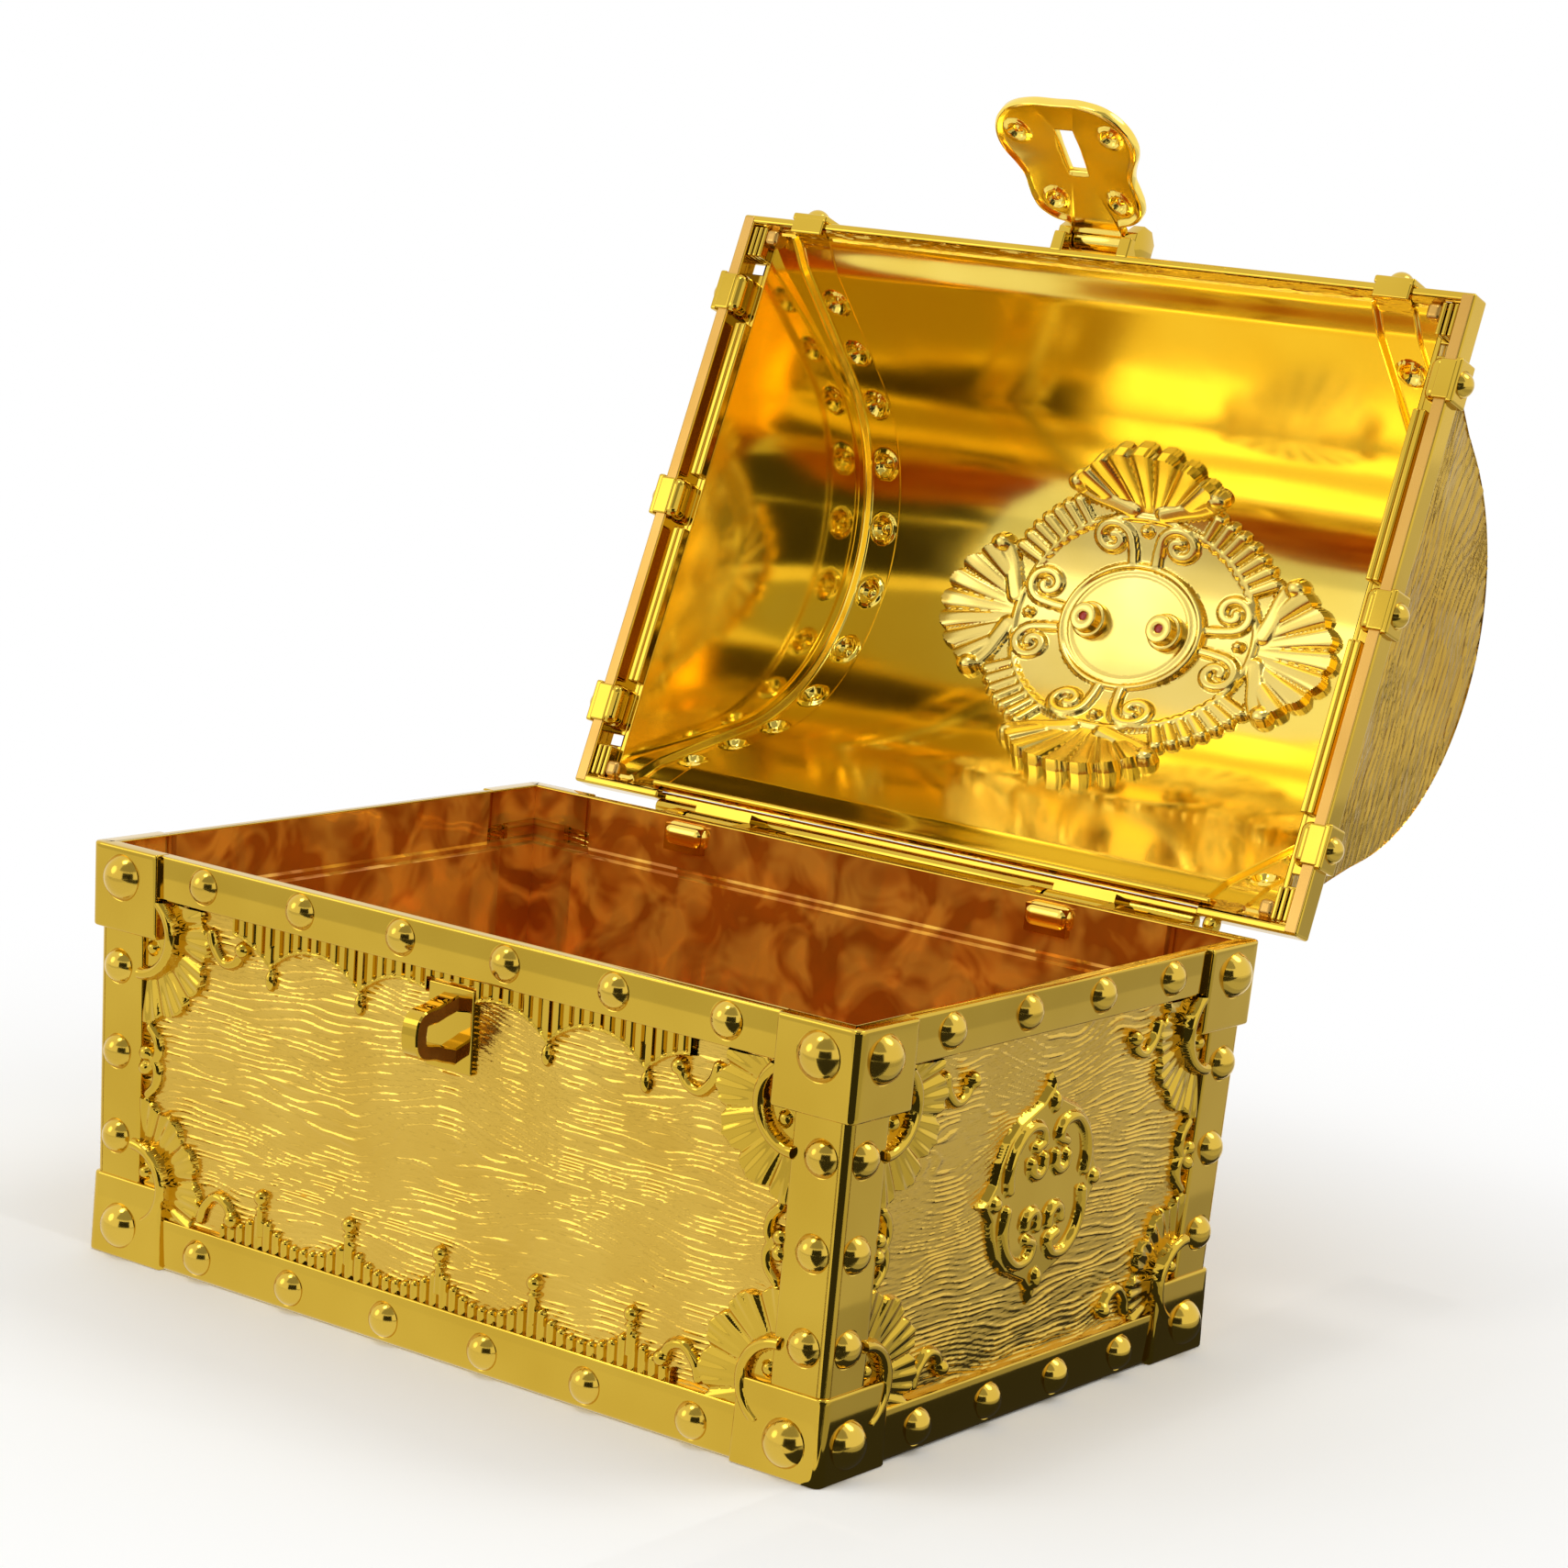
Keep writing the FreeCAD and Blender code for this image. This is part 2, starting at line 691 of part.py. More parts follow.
def make_lid_rim():
    """Frame round the barrel's foot: a channel along each side, a relieved back edge, and a roll along the back."""
    low = (-lid_width / 2, -lid_depth / 2, rim_z)
    high = (lid_width / 2, lid_depth / 2, rim_z + rim_height)
    frame = box_between(low, high)
    frame = frame.cut(arch_solid(0, -end_outer, end_outer))
    for side in (-1, 1):
        stations = sorted((side * end_outer, side * channel_outer))
        low = (stations[0], lid_rim_wall - lid_depth / 2, rim_z)
        frame = frame.cut(box_between(low, (stations[1], lid_depth / 2 - lid_rim_wall, channel_top)))
    low = (-rear_relief_half, lid_depth / 2 - rear_relief_inset, rim_z)
    high = (rear_relief_half, lid_depth / 2, rim_z + rear_relief_depth)
    frame = frame.cut(box_between(low, high))
    roll = rod(rear_roll_radius, rear_relief_half, lid_depth / 2 + rear_roll_back, rim_z + rear_roll_rise)
    for side in (-1, 1):
        roll = roll.cut(knuckle_arm_box(side))
    return only_solid(frame.fuse(roll))


def make_strap(side):
    """Raised strap over the barrel near one end, down to the rim frame."""
    stations = sorted((side * strap_inner, side * (strap_inner + strap_width)))
    strap = arch_solid(-strap_proud, stations[0], stations[1]).cut(arch_solid(0, stations[0], stations[1]))
    low = (-base_width, -base_width, rim_z - overrun)
    strap = strap.cut(box_between(low, (base_width, base_width, rim_z + rim_height)))
    return only_solid(strap)


def make_strap_studs():
    """Studs along both straps, one at the crown and the rest spaced evenly down the arch."""
    stud = dome(stud_radius, stud_height)
    studs = []
    for side in (-1, 1):
        for along in centred(strap_stud_count, arch_half_length(-strap_proud) - strap_stud_margin):
            point, normal = arch_point(along, -strap_proud)
            point.x = side * (strap_inner + strap_width / 2)
            studs.append(planted(stud, point, normal))
    return studs


def clip_places():
    """Middle of every rim clip: three along each side and two on the front."""
    sides = [(side, step) for side in (-1, 1) for step in (-clip_side_pitch, 0, clip_side_pitch)]
    return sides, (-clip_front_station, clip_front_station)


def make_rim_clips():
    """Clips that wrap the rim: an outer plate, a thin foot under it and, at the sides, a pad in the channel."""
    sides, fronts = clip_places()
    half = clip_width / 2
    under = rim_z - clip_under
    top = rim_z + rim_height
    clips = []
    for side, y in sides:
        outer = lid_width / 2
        plate = box_between((outer, y - half, under), (outer + clip_plate, y + half, top))
        inside = channel_outer - clip_foot_depth
        foot = box_between((inside, y - half, under), (outer, y + half, rim_z))
        pad = box_between((inside, y - half, rim_z), (channel_outer, y + half, channel_top))
        clip = plate.fuse(foot).fuse(pad)
        if side < 0:
            clip = clip.mirror(Vector(0, 0, 0), Vector(1, 0, 0))
        clips.append(only_solid(clip))
    front = -lid_depth / 2
    for x in fronts:
        plate = box_between((x - half, front - clip_plate, under), (x + half, front, top))
        foot = box_between((x - half, front, under), (x + half, front + clip_foot_depth, rim_z))
        clips.append(only_solid(plate.fuse(foot)))
    return clips


def make_clip_studs():
    """One stud on the outer plate of every clip."""
    stud = dome(clip_stud_radius, clip_stud_height)
    sides, fronts = clip_places()
    z = rim_z + (rim_height - clip_under) / 2
    studs = []
    for side, y in sides:
        studs.append(planted(stud, Vector(side * (lid_width / 2 + clip_plate), y, z), Vector(side, 0, 0)))
    for x in fronts:
        studs.append(planted(stud, Vector(x, -lid_depth / 2 - clip_plate, z), Vector(0, -1, 0)))
    return studs


def make_channel_ribs():
    """Half-round ribs along the roof of the rim's side channels, between the clips."""
    length = clip_side_pitch - clip_width - 2 * rib_end_gap
    ribs = []
    for side in (-1, 1):
        for step in (-1, 1):
            start = Vector(side * rib_middle, step * clip_side_pitch / 2 - length / 2, channel_top)
            bar = Part.makeCylinder(rib_radius, length, start, Vector(0, 1, 0))
            low = (-base_width, -base_width, channel_top)
            ribs.append(only_solid(bar.cut(box_between(low, (base_width, base_width, channel_top + overrun)))))
    return ribs


def make_lid_knuckle(side):
    """Hinge knuckle of the lid: a bored barrel with an arm up the back of the rim."""
    middle = side * hinge_station
    half = knuckle_width / 2
    knuckle = rod(eye_radius, half, hinge_y, hinge_z, middle)
    knuckle = knuckle.fuse(knuckle_arm_box(side))
    bore = rod(hinge_pin_radius + pin_running_gap, half + overrun, hinge_y, hinge_z, middle)
    return only_solid(knuckle.cut(bore))


def crest_plan():
    """Tall oval block over the crest's plan."""
    oval = Part.Ellipse(Vector(0, 0, 0), crest_half_length, crest_half_width)
    wire = Part.Wire([oval.toShape()])
    return Part.Face(wire).extrude(Vector(0, 0, vault_height + rim_z + overrun))


def make_inner_crest():
    """Crest on the inside of the crown: a plate that follows the vault, with a flat disc at its middle."""
    inner = arch_solid(lid_wall, -end_inner, end_inner)
    plate = inner.cut(arch_solid(lid_wall + crest_proud, -end_inner, end_inner)).common(crest_plan())
    disc_low = crest_disc_face()
    disc = Part.makeCylinder(crest_disc_radius, vault_height, Vector(0, 0, disc_low)).common(inner)
    crest = plate.fuse(disc)
    for hole in peg_holes(peg_radius + peg_gap):
        crest = crest.cut(hole)
    return only_solid(crest)


def crest_disc_face():
    """Height of the inner crest's flat face."""
    return rim_z + vault_height - lid_wall - crest_proud - crest_disc_drop


def make_crest_posts():
    """Two stepped hollow posts on the crest's disc, which take the jewel's pegs."""
    face = crest_disc_face()
    posts = []
    for side in (-1, 1):
        x = side * post_spacing / 2
        step = Part.makeCylinder(post_step_radius, post_step_height, Vector(x, 0, face - post_step_height))
        tip_low = face - post_step_height - post_tip_height
        tip = Part.makeCylinder(post_tip_radius, post_tip_height, Vector(x, 0, tip_low))
        post = step.fuse(tip)
        for hole in peg_holes(peg_radius + peg_gap):
            post = post.cut(hole)
        posts.append(only_solid(post))
    return posts


def make_outer_crest():
    """Crest on the outside of the crown, with a flat seat for the jewel."""
    outer = arch_solid(-crest_proud, -end_inner, end_inner).cut(arch_solid(0, -end_inner, end_inner))
    crest = outer.common(crest_plan())
    seat = Part.makeCylinder(jewel_half_length + jewel_seat_margin, vault_height, Vector(0, 0, rim_z))
    low = (-base_width, -base_width, rim_z)
    seat = seat.common(box_between(low, (base_width, base_width, jewel_seat())))
    crest = crest.fuse(seat.cut(arch_solid(0, -end_inner, end_inner)))
    for hole in peg_holes(peg_radius + peg_gap):
        crest = crest.cut(hole)
    return only_solid(crest)


def jewel_seat():
    """Height of the flat seat under the jewel."""
    return rim_z + vault_height + crest_proud + jewel_seat_height


def make_jewel():
    """Oval stone with a domed top and two pegs that reach down into the posts."""
    stone = dome(jewel_half_width, jewel_height)
    stretch = FreeCAD.Matrix()
    stretch.scale(jewel_half_length / jewel_half_width, 1, 1)
    stone = stone.transformGeometry(stretch)
    stone.translate(Vector(0, 0, jewel_seat()))
    low = crest_disc_face() - post_step_height - post_tip_height + peg_recess
    for side in (-1, 1):
        start = Vector(side * post_spacing / 2, 0, low)
        stone = stone.fuse(Part.makeCylinder(peg_radius, jewel_seat() - low, start))
    return only_solid(stone)


def make_hasp_lugs():
    """Two bored eight-sided lugs on the lid's front edge, either side of the hasp's knuckle."""
    lugs = []
    for side in (-1, 1):
        middle = side * (hasp_knuckle_width / 2 + hasp_lug_gap + hasp_lug_thickness / 2)
        start = middle - hasp_lug_thickness / 2
        corners = []
        for k in range(hasp_lug_sides):
            turn = (2 * k + 1) * math.pi / hasp_lug_sides
            corners.append(Vector(start, pivot_y + hasp_lug_radius * math.cos(turn),
                                  pivot_z + hasp_lug_radius * math.sin(turn)))
        eye = Part.Face(Part.makePolygon(corners + corners[:1])).extrude(Vector(hasp_lug_thickness, 0, 0))
        low = (start, pivot_y, rim_z)
        root = box_between(low, (start + hasp_lug_thickness, -lid_depth / 2, rim_z + rim_height))
        lug = eye.fuse(root)
        keep = box_between((start - overrun, -base_depth, rim_z - overrun),
                           (start + hasp_lug_thickness + overrun, -lid_depth / 2, base_depth + rim_z))
        lug = lug.common(keep)
        lugs.append(only_solid(lug.cut(rod(hasp_pin_radius + pin_press_gap, base_width, pivot_y, pivot_z))))
    return lugs


def make_hasp_pin():
    """Pin through both lugs and the hasp's knuckle."""
    half = hasp_knuckle_width / 2 + hasp_lug_gap + hasp_lug_thickness
    return rod(hasp_pin_radius, half, pivot_y, pivot_z)


def mirrored(point):
    """A point's twin across the middle plane."""
    return Vector(-point.x, point.y, point.z)


def hasp_outline():
    """Outline of the hasp in the X-Z plane: a neck, a lobe, a notch, a wide belly and a round toe."""
    neck = hasp_knuckle_width / 2
    right = [Vector(neck, 0, pivot_z), Vector(neck, 0, pivot_z - hasp_neck_length)]
    lobe = Vector(hasp_lobe_half, 0, pivot_z - hasp_lobe_drop)
    notch = Vector(hasp_notch_half, 0, pivot_z - hasp_notch_drop)
    belly = Vector(hasp_half_width, 0, pivot_z - hasp_belly_drop)
    toe = Vector(hasp_toe_half, 0, pivot_z - hasp_length + hasp_toe_rise)
    tip = Vector(0, 0, pivot_z - hasp_length)
    edges = [Part.LineSegment(right[0], right[1]).toShape(), Part.Arc(right[1], lobe, notch).toShape(),
             Part.Arc(notch, belly, toe).toShape(), Part.Arc(toe, tip, mirrored(toe)).toShape(),
             Part.Arc(mirrored(toe), mirrored(belly), mirrored(notch)).toShape(),
             Part.Arc(mirrored(notch), mirrored(lobe), mirrored(right[1])).toShape(),
             Part.LineSegment(mirrored(right[1]), mirrored(right[0])).toShape(),
             Part.LineSegment(mirrored(right[0]), right[0]).toShape()]
    return Part.Wire(edges)


def make_hasp_plate():
    """Slotted hasp plate with a bored knuckle at its top."""
    plate = Part.Face(hasp_outline()).extrude(Vector(0, hasp_thickness, 0))
    plate.translate(Vector(0, pivot_y - hasp_thickness / 2, 0))
    slot_z = pivot_z - slot_drop
    low = (-slot_width / 2, pivot_y - overrun, slot_z - slot_length / 2)
    plate = plate.cut(box_between(low, (slot_width / 2, pivot_y + overrun, slot_z + slot_length / 2)))
    plate = plate.fuse(rod(hasp_knuckle_radius, hasp_knuckle_width / 2, pivot_y, pivot_z))
    return only_solid(plate.cut(rod(hasp_pin_radius + pin_running_gap, base_width, pivot_y, pivot_z)))


def make_hasp_studs():
    """Four low studs on the hasp's outer face."""
    stud = dome(hasp_stud_radius, hasp_stud_height)
    face = pivot_y - hasp_thickness / 2
    upper = (hasp_upper_stud_half, hasp_upper_stud_drop)
    lower = (hasp_lower_stud_half, hasp_lower_stud_drop)
    studs = []
    for half, drop in (upper, lower):
        for side in (-1, 1):
            studs.append(planted(stud, Vector(side * half, face, pivot_z - drop), Vector(0, -1, 0)))
    return studs


def opened(shape):
    """A lid piece turned from shut to the open stop."""
    copy = shape.copy()
    copy.rotate(Vector(0, hinge_y, hinge_z), Vector(1, 0, 0), -open_angle)
    return copy


def leaning(shape):
    """A hasp piece turned from hanging to its lean on the open lid."""
    copy = shape.copy()
    copy.rotate(Vector(0, pivot_y, pivot_z), Vector(1, 0, 0), -hasp_lean_angle)
    return opened(copy)


def save(name, shapes):
    """Write one node, as a single solid or as a group of separate solids."""
    shape = shapes[0] if len(shapes) == 1 else Part.makeCompound(shapes)
    shape.exportStep(os.path.join("parts", name + ".step"))
    print(name, len(shapes), "solids", round(sum(s.Volume for s in shapes), 1), "mm3")


def build_base():
    """All pieces of the tub."""
    top_band = make_top_band()
    bottom_band = make_bottom_band()
    posts = make_posts()
    upper_caps = make_upper_caps(top_band)
    lower_caps = make_lower_caps(bottom_band)
    covers = [top_band, bottom_band] + [post_core(sx, sy) for sx, sy in ALL_CORNERS] + upper_caps + lower_caps
    save("base_tub", [make_tub()])
    save("top_band", [top_band])
    save("bottom_band", [bottom_band])
    save("corner_posts", posts)
    save("upper_corner_caps", upper_caps)
    save("lower_corner_caps", lower_caps)
    save("band_studs", make_band_studs())
    save("post_studs", make_post_studs())
    save("corner_studs", make_corner_studs())
    save("corner_fans", make_fans(covers))
    staple = make_staple()
    save("front_top_fringe", [make_fringe(-1, top_band_low, staple)])
    save("front_bottom_fringe", [make_fringe(1, bottom_band_height, staple)])
    save("side_plaque_left", [make_plaque(-1)])
    save("side_plaque_right", [make_plaque(1)])
    save("staple", [staple])
    for name, side in (("left", -1), ("right", 1)):
        save("hinge_bracket_" + name, [make_hinge_bracket(side)])
        save("hinge_pin_" + name, [make_hinge_pin(side)])


def build_lid():
    """All pieces that swing with the lid."""
    groups = {
        "lid_vault": [make_vault()], "lid_end_left": [make_lid_end(-1)], "lid_end_right": [make_lid_end(1)],
        "lid_rim": [make_lid_rim()], "lid_strap_left": [make_strap(-1)], "lid_strap_right": [make_strap(1)],
        "strap_studs": make_strap_studs(), "rim_clips": make_rim_clips(), "clip_studs": make_clip_studs(),
        "channel_ribs": make_channel_ribs(), "lid_knuckle_left": [make_lid_knuckle(-1)],
        "lid_knuckle_right": [make_lid_knuckle(1)], "inner_crest": [make_inner_crest()],
        "crest_posts": make_crest_posts(), "outer_crest": [make_outer_crest()], "jewel": [make_jewel()],
        "hasp_lugs": make_hasp_lugs(), "hasp_pin": [make_hasp_pin()],
    }
    for name, shapes in groups.items():
        save(name, [opened(shape) for shape in shapes])


def build_hasp():
    """The hasp's own pieces."""
    save("hasp_plate", [leaning(make_hasp_plate())])
    save("hasp_studs", [leaning(stud) for stud in make_hasp_studs()])


os.makedirs("parts", exist_ok=True)
build_base()
build_lid()
build_hasp()
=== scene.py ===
"""Looks of a small gilt treasure chest: a banded tub, a barrel lid on rear hinges and a slotted hasp.

Every surface is worked out in millimetres in the CAD frame (X right, Y back, Z up, origin in the middle
of the underside) and scaled to metres when it becomes a mesh. The lid and hasp are drawn shut and then
turned to where they stand in the photograph.
"""

import logging
import math
from dataclasses import dataclass, field
from enum import Enum
from typing import Callable, Sequence

import bpy
import numpy as np
from mathutils import Matrix


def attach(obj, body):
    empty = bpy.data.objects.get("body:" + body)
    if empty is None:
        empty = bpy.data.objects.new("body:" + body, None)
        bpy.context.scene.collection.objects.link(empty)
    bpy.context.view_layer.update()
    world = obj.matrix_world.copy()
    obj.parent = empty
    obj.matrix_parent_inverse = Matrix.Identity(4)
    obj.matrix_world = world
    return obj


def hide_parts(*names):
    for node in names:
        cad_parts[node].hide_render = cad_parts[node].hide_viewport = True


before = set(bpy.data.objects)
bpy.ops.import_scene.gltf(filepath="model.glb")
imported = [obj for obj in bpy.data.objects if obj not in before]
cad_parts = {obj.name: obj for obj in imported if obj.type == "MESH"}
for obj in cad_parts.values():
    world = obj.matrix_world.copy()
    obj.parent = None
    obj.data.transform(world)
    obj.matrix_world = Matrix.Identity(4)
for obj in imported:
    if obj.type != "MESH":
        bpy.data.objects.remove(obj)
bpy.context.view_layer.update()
log = logging.getLogger("chest")

Array = np.ndarray
# Metres in a millimetre
MM = 0.001
# Points that round to the same multiple of this are one point
WELD_MM = 0.002
# Overlapping pieces are set back by this, so that no two faces lie in one plane
LAP_MM = 0.05
# Reliefs and studs start this far below the surface that they stand on
SINK_MM = 0.3
# Cells of a relief that rise less than this over the sunk level are left out
RISE_MM = 0.01
# Left and right, or front and back
SIGNS = (-1, 1)
FULL_TURN = 2 * math.pi
UP = (0.0, 0.0, 1.0)
DOWN = (0.0, 0.0, -1.0)
WHITE = (1, 1, 1, 1)


# Surfaces

@dataclass
class Surface:
    """A mesh in the making: points in millimetres and faces of four corners, some in one place."""

    points: Array
    quads: Array

    def shaped(self, rule: Callable[[Array], Array]) -> "Surface":
        """The same faces on points moved by a rule."""
        return Surface(rule(self.points), self.quads)

    def turned_over(self) -> "Surface":
        """The same surface with its faces looking the other way."""
        return Surface(self.points, self.quads[:, ::-1])

    def normals(self) -> Array:
        """Normal of each face, as long as twice its area: the cross product of its diagonals."""
        corner = self.points[self.quads]
        return np.cross(corner[:, 2] - corner[:, 0], corner[:, 3] - corner[:, 1])

    def facing(self, direction: Sequence[float]) -> "Surface":
        """This surface or its turned-over twin, whichever looks along a direction on the whole."""
        normal = self.normals().sum(axis=0)
        return self if float(normal @ np.asarray(direction, float)) >= 0 else self.turned_over()


def sheet(grid: Array, ring: bool = False, loop: bool = False, keep: Array | None = None) -> Surface:
    """Faces over a grid of points: each cell joins four neighbours, columns first, then rows.

    Args:
        grid: Points, rows by columns by three.
        ring: Whether the last column joins the first.
        loop: Whether the last row joins the first.
        keep: Flags per point; a cell with no flagged corner is left out.

    Returns:
        The surface, which looks along (column direction) x (row direction).
    """
    rows, cols = grid.shape[:2]
    index = np.arange(rows * cols).reshape(rows, cols)
    if ring:
        index = np.hstack([index, index[:, :1]])
    if loop:
        index = np.vstack([index, index[:1]])
    quads = np.stack([index[:-1, :-1], index[:-1, 1:], index[1:, 1:], index[1:, :-1]], axis=-1).reshape(-1, 4)
    if keep is not None:
        quads = quads[keep.reshape(-1)[quads].any(axis=1)]
    return Surface(grid.reshape(-1, 3), quads)


def joined(parts: Sequence[Surface]) -> Surface:
    """Several surfaces as one, with their faces' numbers shifted along."""
    starts = np.cumsum([0] + [len(p.points) for p in parts[:-1]])
    return Surface(np.vstack([p.points for p in parts]),
                   np.vstack([p.quads + s for p, s in zip(parts, starts)]))


def welded(surface: Surface) -> tuple[Array, list[list[int]]]:
    """Merges points that share a place and drops corners that a face then repeats.

    Args:
        surface: The surface to close at its seams and poles.

    Returns:
        Points, and faces as lists of three or four numbers.
    """
    keys = np.round(surface.points / WELD_MM).astype(np.int64)
    _, first, number = np.unique(keys, axis=0, return_index=True, return_inverse=True)
    quads = number.reshape(-1)[surface.quads]
    same = quads == np.roll(quads, -1, axis=1)
    fours = quads[same.sum(axis=1) == 0]
    single = same.sum(axis=1) == 1
    threes = np.vstack([np.delete(quads[single & same[:, corner]], corner, axis=1) for corner in range(4)])
    used = np.unique(np.concatenate([fours.ravel(), threes.ravel()]))
    renumber = np.zeros(len(first), int)
    renumber[used] = np.arange(len(used))
    return surface.points[first][used], renumber[fours].tolist() + renumber[threes].tolist()


def smooth(low: float, high: float, value: Array) -> Array:
    """Rises from 0 at low to 1 at high along the curve 3t^2 - 2t^3."""
    t = np.clip((value - low) / (high - low), 0.0, 1.0)
    return t * t * (3.0 - 2.0 * t)


def ridge(distance: Array, half_width: float) -> Array:
    """Half-round ridge: the square root of 1 - (distance / half width)^2, and 0 outside."""
    return np.sqrt(np.clip(1.0 - (distance / half_width) ** 2, 0.0, None))


def flat_ridge(distance: Array, half_width: float) -> Array:
    """Flat-topped ridge: 1 - (distance / half width)^4, below 0 outside."""
    return 1 - (distance / half_width) ** 4


def with_ridge(height: Array, distance: Array, half_width: float, rise: float, base: float = 0.0) -> Array:
    """Heights under a half-round ridge: the greater of the two within its half width."""
    raised = np.maximum(height, base + rise * ridge(distance, half_width))
    return np.where(distance < half_width, raised, height)


def shown(height: Array) -> Array:
    """Flags of a relief's points that stand above its sunk level."""
    return height > RISE_MM - SINK_MM


def quarter(radius: float, steps: int = 3) -> tuple[Array, Array]:
    """Quarter-round edge: how far along and how deep it lies, from the side wall to the face."""
    turn = np.linspace(0.0, math.pi / 2, steps + 1)
    return radius * (1 - np.cos(turn)), radius * (1 - np.sin(turn))


def spaced(half: float, step: float) -> Array:
    """Places a step apart, from minus half to just past plus half."""
    return np.arange(-half, half + step, step)


def turns(count: int) -> Array:
    """Angles that share out a full turn, from 0."""
    return np.linspace(0, FULL_TURN, count, endpoint=False)


def flat_sided(count: int) -> Array:
    """Angles of the corners of a regular outline that has a flat side towards 0."""
    return (np.arange(count) + 0.5) / count * FULL_TURN


def outline_at(turn: Array, radius: float, y: float, z: float) -> Array:
    """Round or many-sided (y, z) outline about a middle."""
    return np.column_stack([y + radius * np.cos(turn), z + radius * np.sin(turn)])


def path_distance(u: Array, v: Array, path: Array) -> Array:
    """Distance from each grid point to a polyline: the least over its straight runs.

    Args:
        u: First coordinates of the grid.
        v: Second coordinates of the grid.
        path: Points of the polyline.

    Returns:
        Distances, shaped like the grid.
    """
    best = np.full(u.shape, np.inf)
    for start, end in zip(path[:-1], path[1:]):
        run = end - start
        share = np.clip(((u - start[0]) * run[0] + (v - start[1]) * run[1]) / max(run @ run, 1e-9), 0, 1)
        best = np.minimum(best, np.hypot(u - start[0] - share * run[0], v - start[1] - share * run[1]))
    return best


def curve_through(points: Sequence[Sequence[float]], steps: int = 8) -> Array:
    """Smooth polyline through points: cubic pieces whose slopes come from the neighbouring points."""
    knots = np.asarray(points, float)
    ends = np.vstack([2 * knots[0] - knots[1], knots, 2 * knots[-1] - knots[-2]])
    t = np.linspace(0, 1, steps, endpoint=False)[:, None]
    runs = []
    for a, b, c, d in zip(ends[:-3], ends[1:-2], ends[2:-1], ends[3:]):
        runs.append(0.5 * (2 * b + (c - a) * t + (2 * a - 5 * b + 4 * c - d) * t ** 2
                           + (3 * b - a - 3 * c + d) * t ** 3))
    return np.vstack(runs + [knots[-1:]])


def resampled(path: Array, count: int) -> Array:
    """A closed path's points spread evenly along its length."""
    loop = np.vstack([path, path[:1]])
    reach = np.concatenate([[0], np.cumsum(np.linalg.norm(np.diff(loop, axis=0), axis=1))])
    at = np.linspace(0, reach[-1], count, endpoint=False)
    return np.stack([np.interp(at, reach, loop[:, k]) for k in range(loop.shape[1])], axis=1)


def revolved(profile: Sequence[Sequence[float]], cols: int = 28) -> Surface:
    """A profile of (radius, height) turned round Z; upwards along the profile looks outwards."""
    radius, height = np.asarray(profile, float).T
    turn = turns(cols)
    grid = np.stack([np.outer(radius, np.cos(turn)), np.outer(radius, np.sin(turn)),
                     np.outer(height, np.ones(cols))], axis=-1)
    return sheet(grid, ring=True)


def dome(radius: float, height: float, rows: int = 9, foot: float = 0.12) -> Surface:
    """Round stud head: a cap cut from a ball, on a short sunk skirt that stands out as a small foot line."""
    ball = (radius ** 2 + height ** 2) / (2 * height)
    turn = np.linspace(math.asin(min(radius / ball, 1.0)), 0.0, rows)
    cap = np.stack([ball * np.sin(turn), ball * np.cos(turn) - ball + height], axis=1)
    skirt = np.array([[radius + foot, -SINK_MM], [radius + foot, 0.05]])
    return revolved(np.vstack([skirt, cap]))


def planted(surface: Surface, points: Array, normals: Array) -> Surface:
    """Copies of a surface drawn round Z, each stood on a point along a normal."""
    copies = []
    for point, normal in zip(np.atleast_2d(points), np.atleast_2d(normals)):
        n = normal / np.linalg.norm(normal)
        across = np.cross(UP if abs(n[2]) < 0.9 else (0.0, 1.0, 0.0), n)
        across /= np.linalg.norm(across)
        basis = np.stack([across, np.cross(n, across), n])
        copies.append(surface.shaped(lambda p, b=basis, o=point: p @ b + o))
    return joined(copies)


def rounded_box(low: Sequence[float], high: Sequence[float], radius: float, steps: int = 3) -> Surface:
    """Box with rounded edges: points of a cube, pulled to a radius from an inner box.

    Args:
        low: Lowest corner.
        high: Highest corner.
        radius: Edge radius.
        steps: Rows of faces round each edge's half.

    Returns:
        A closed surface that looks outwards.
    """
    low, high = np.asarray(low, float), np.asarray(high, float)
    half, middle = (high - low) / 2, (high + low) / 2
    r = min(radius, 0.98 * half.min())
    core = half - r
    edge = r * np.tan(np.linspace(0, math.pi / 4, steps + 1))
    sides = []
    for axis in range(3):
        samples = []
        for k in (1, 2):
            c = core[(axis + k) % 3]
            hold = max(c - 0.12, 0.5 * c)
            samples.append(np.concatenate([-(c + edge)[::-1], [-hold, hold], c + edge]))
        u, v = np.meshgrid(*samples)
        for sign in SIGNS:
            p = np.zeros(u.shape + (3,))
            p[..., axis] = sign * half[axis]
            p[..., (axis + 1) % 3], p[..., (axis + 2) % 3] = u, v
            near = np.clip(p, -core, core)
            away = p - near
            p = near + r * away / np.maximum(np.linalg.norm(away, axis=-1, keepdims=True), 1e-9) + middle
            sides.append(sheet(p) if sign > 0 else sheet(p).turned_over())
    return joined(sides)


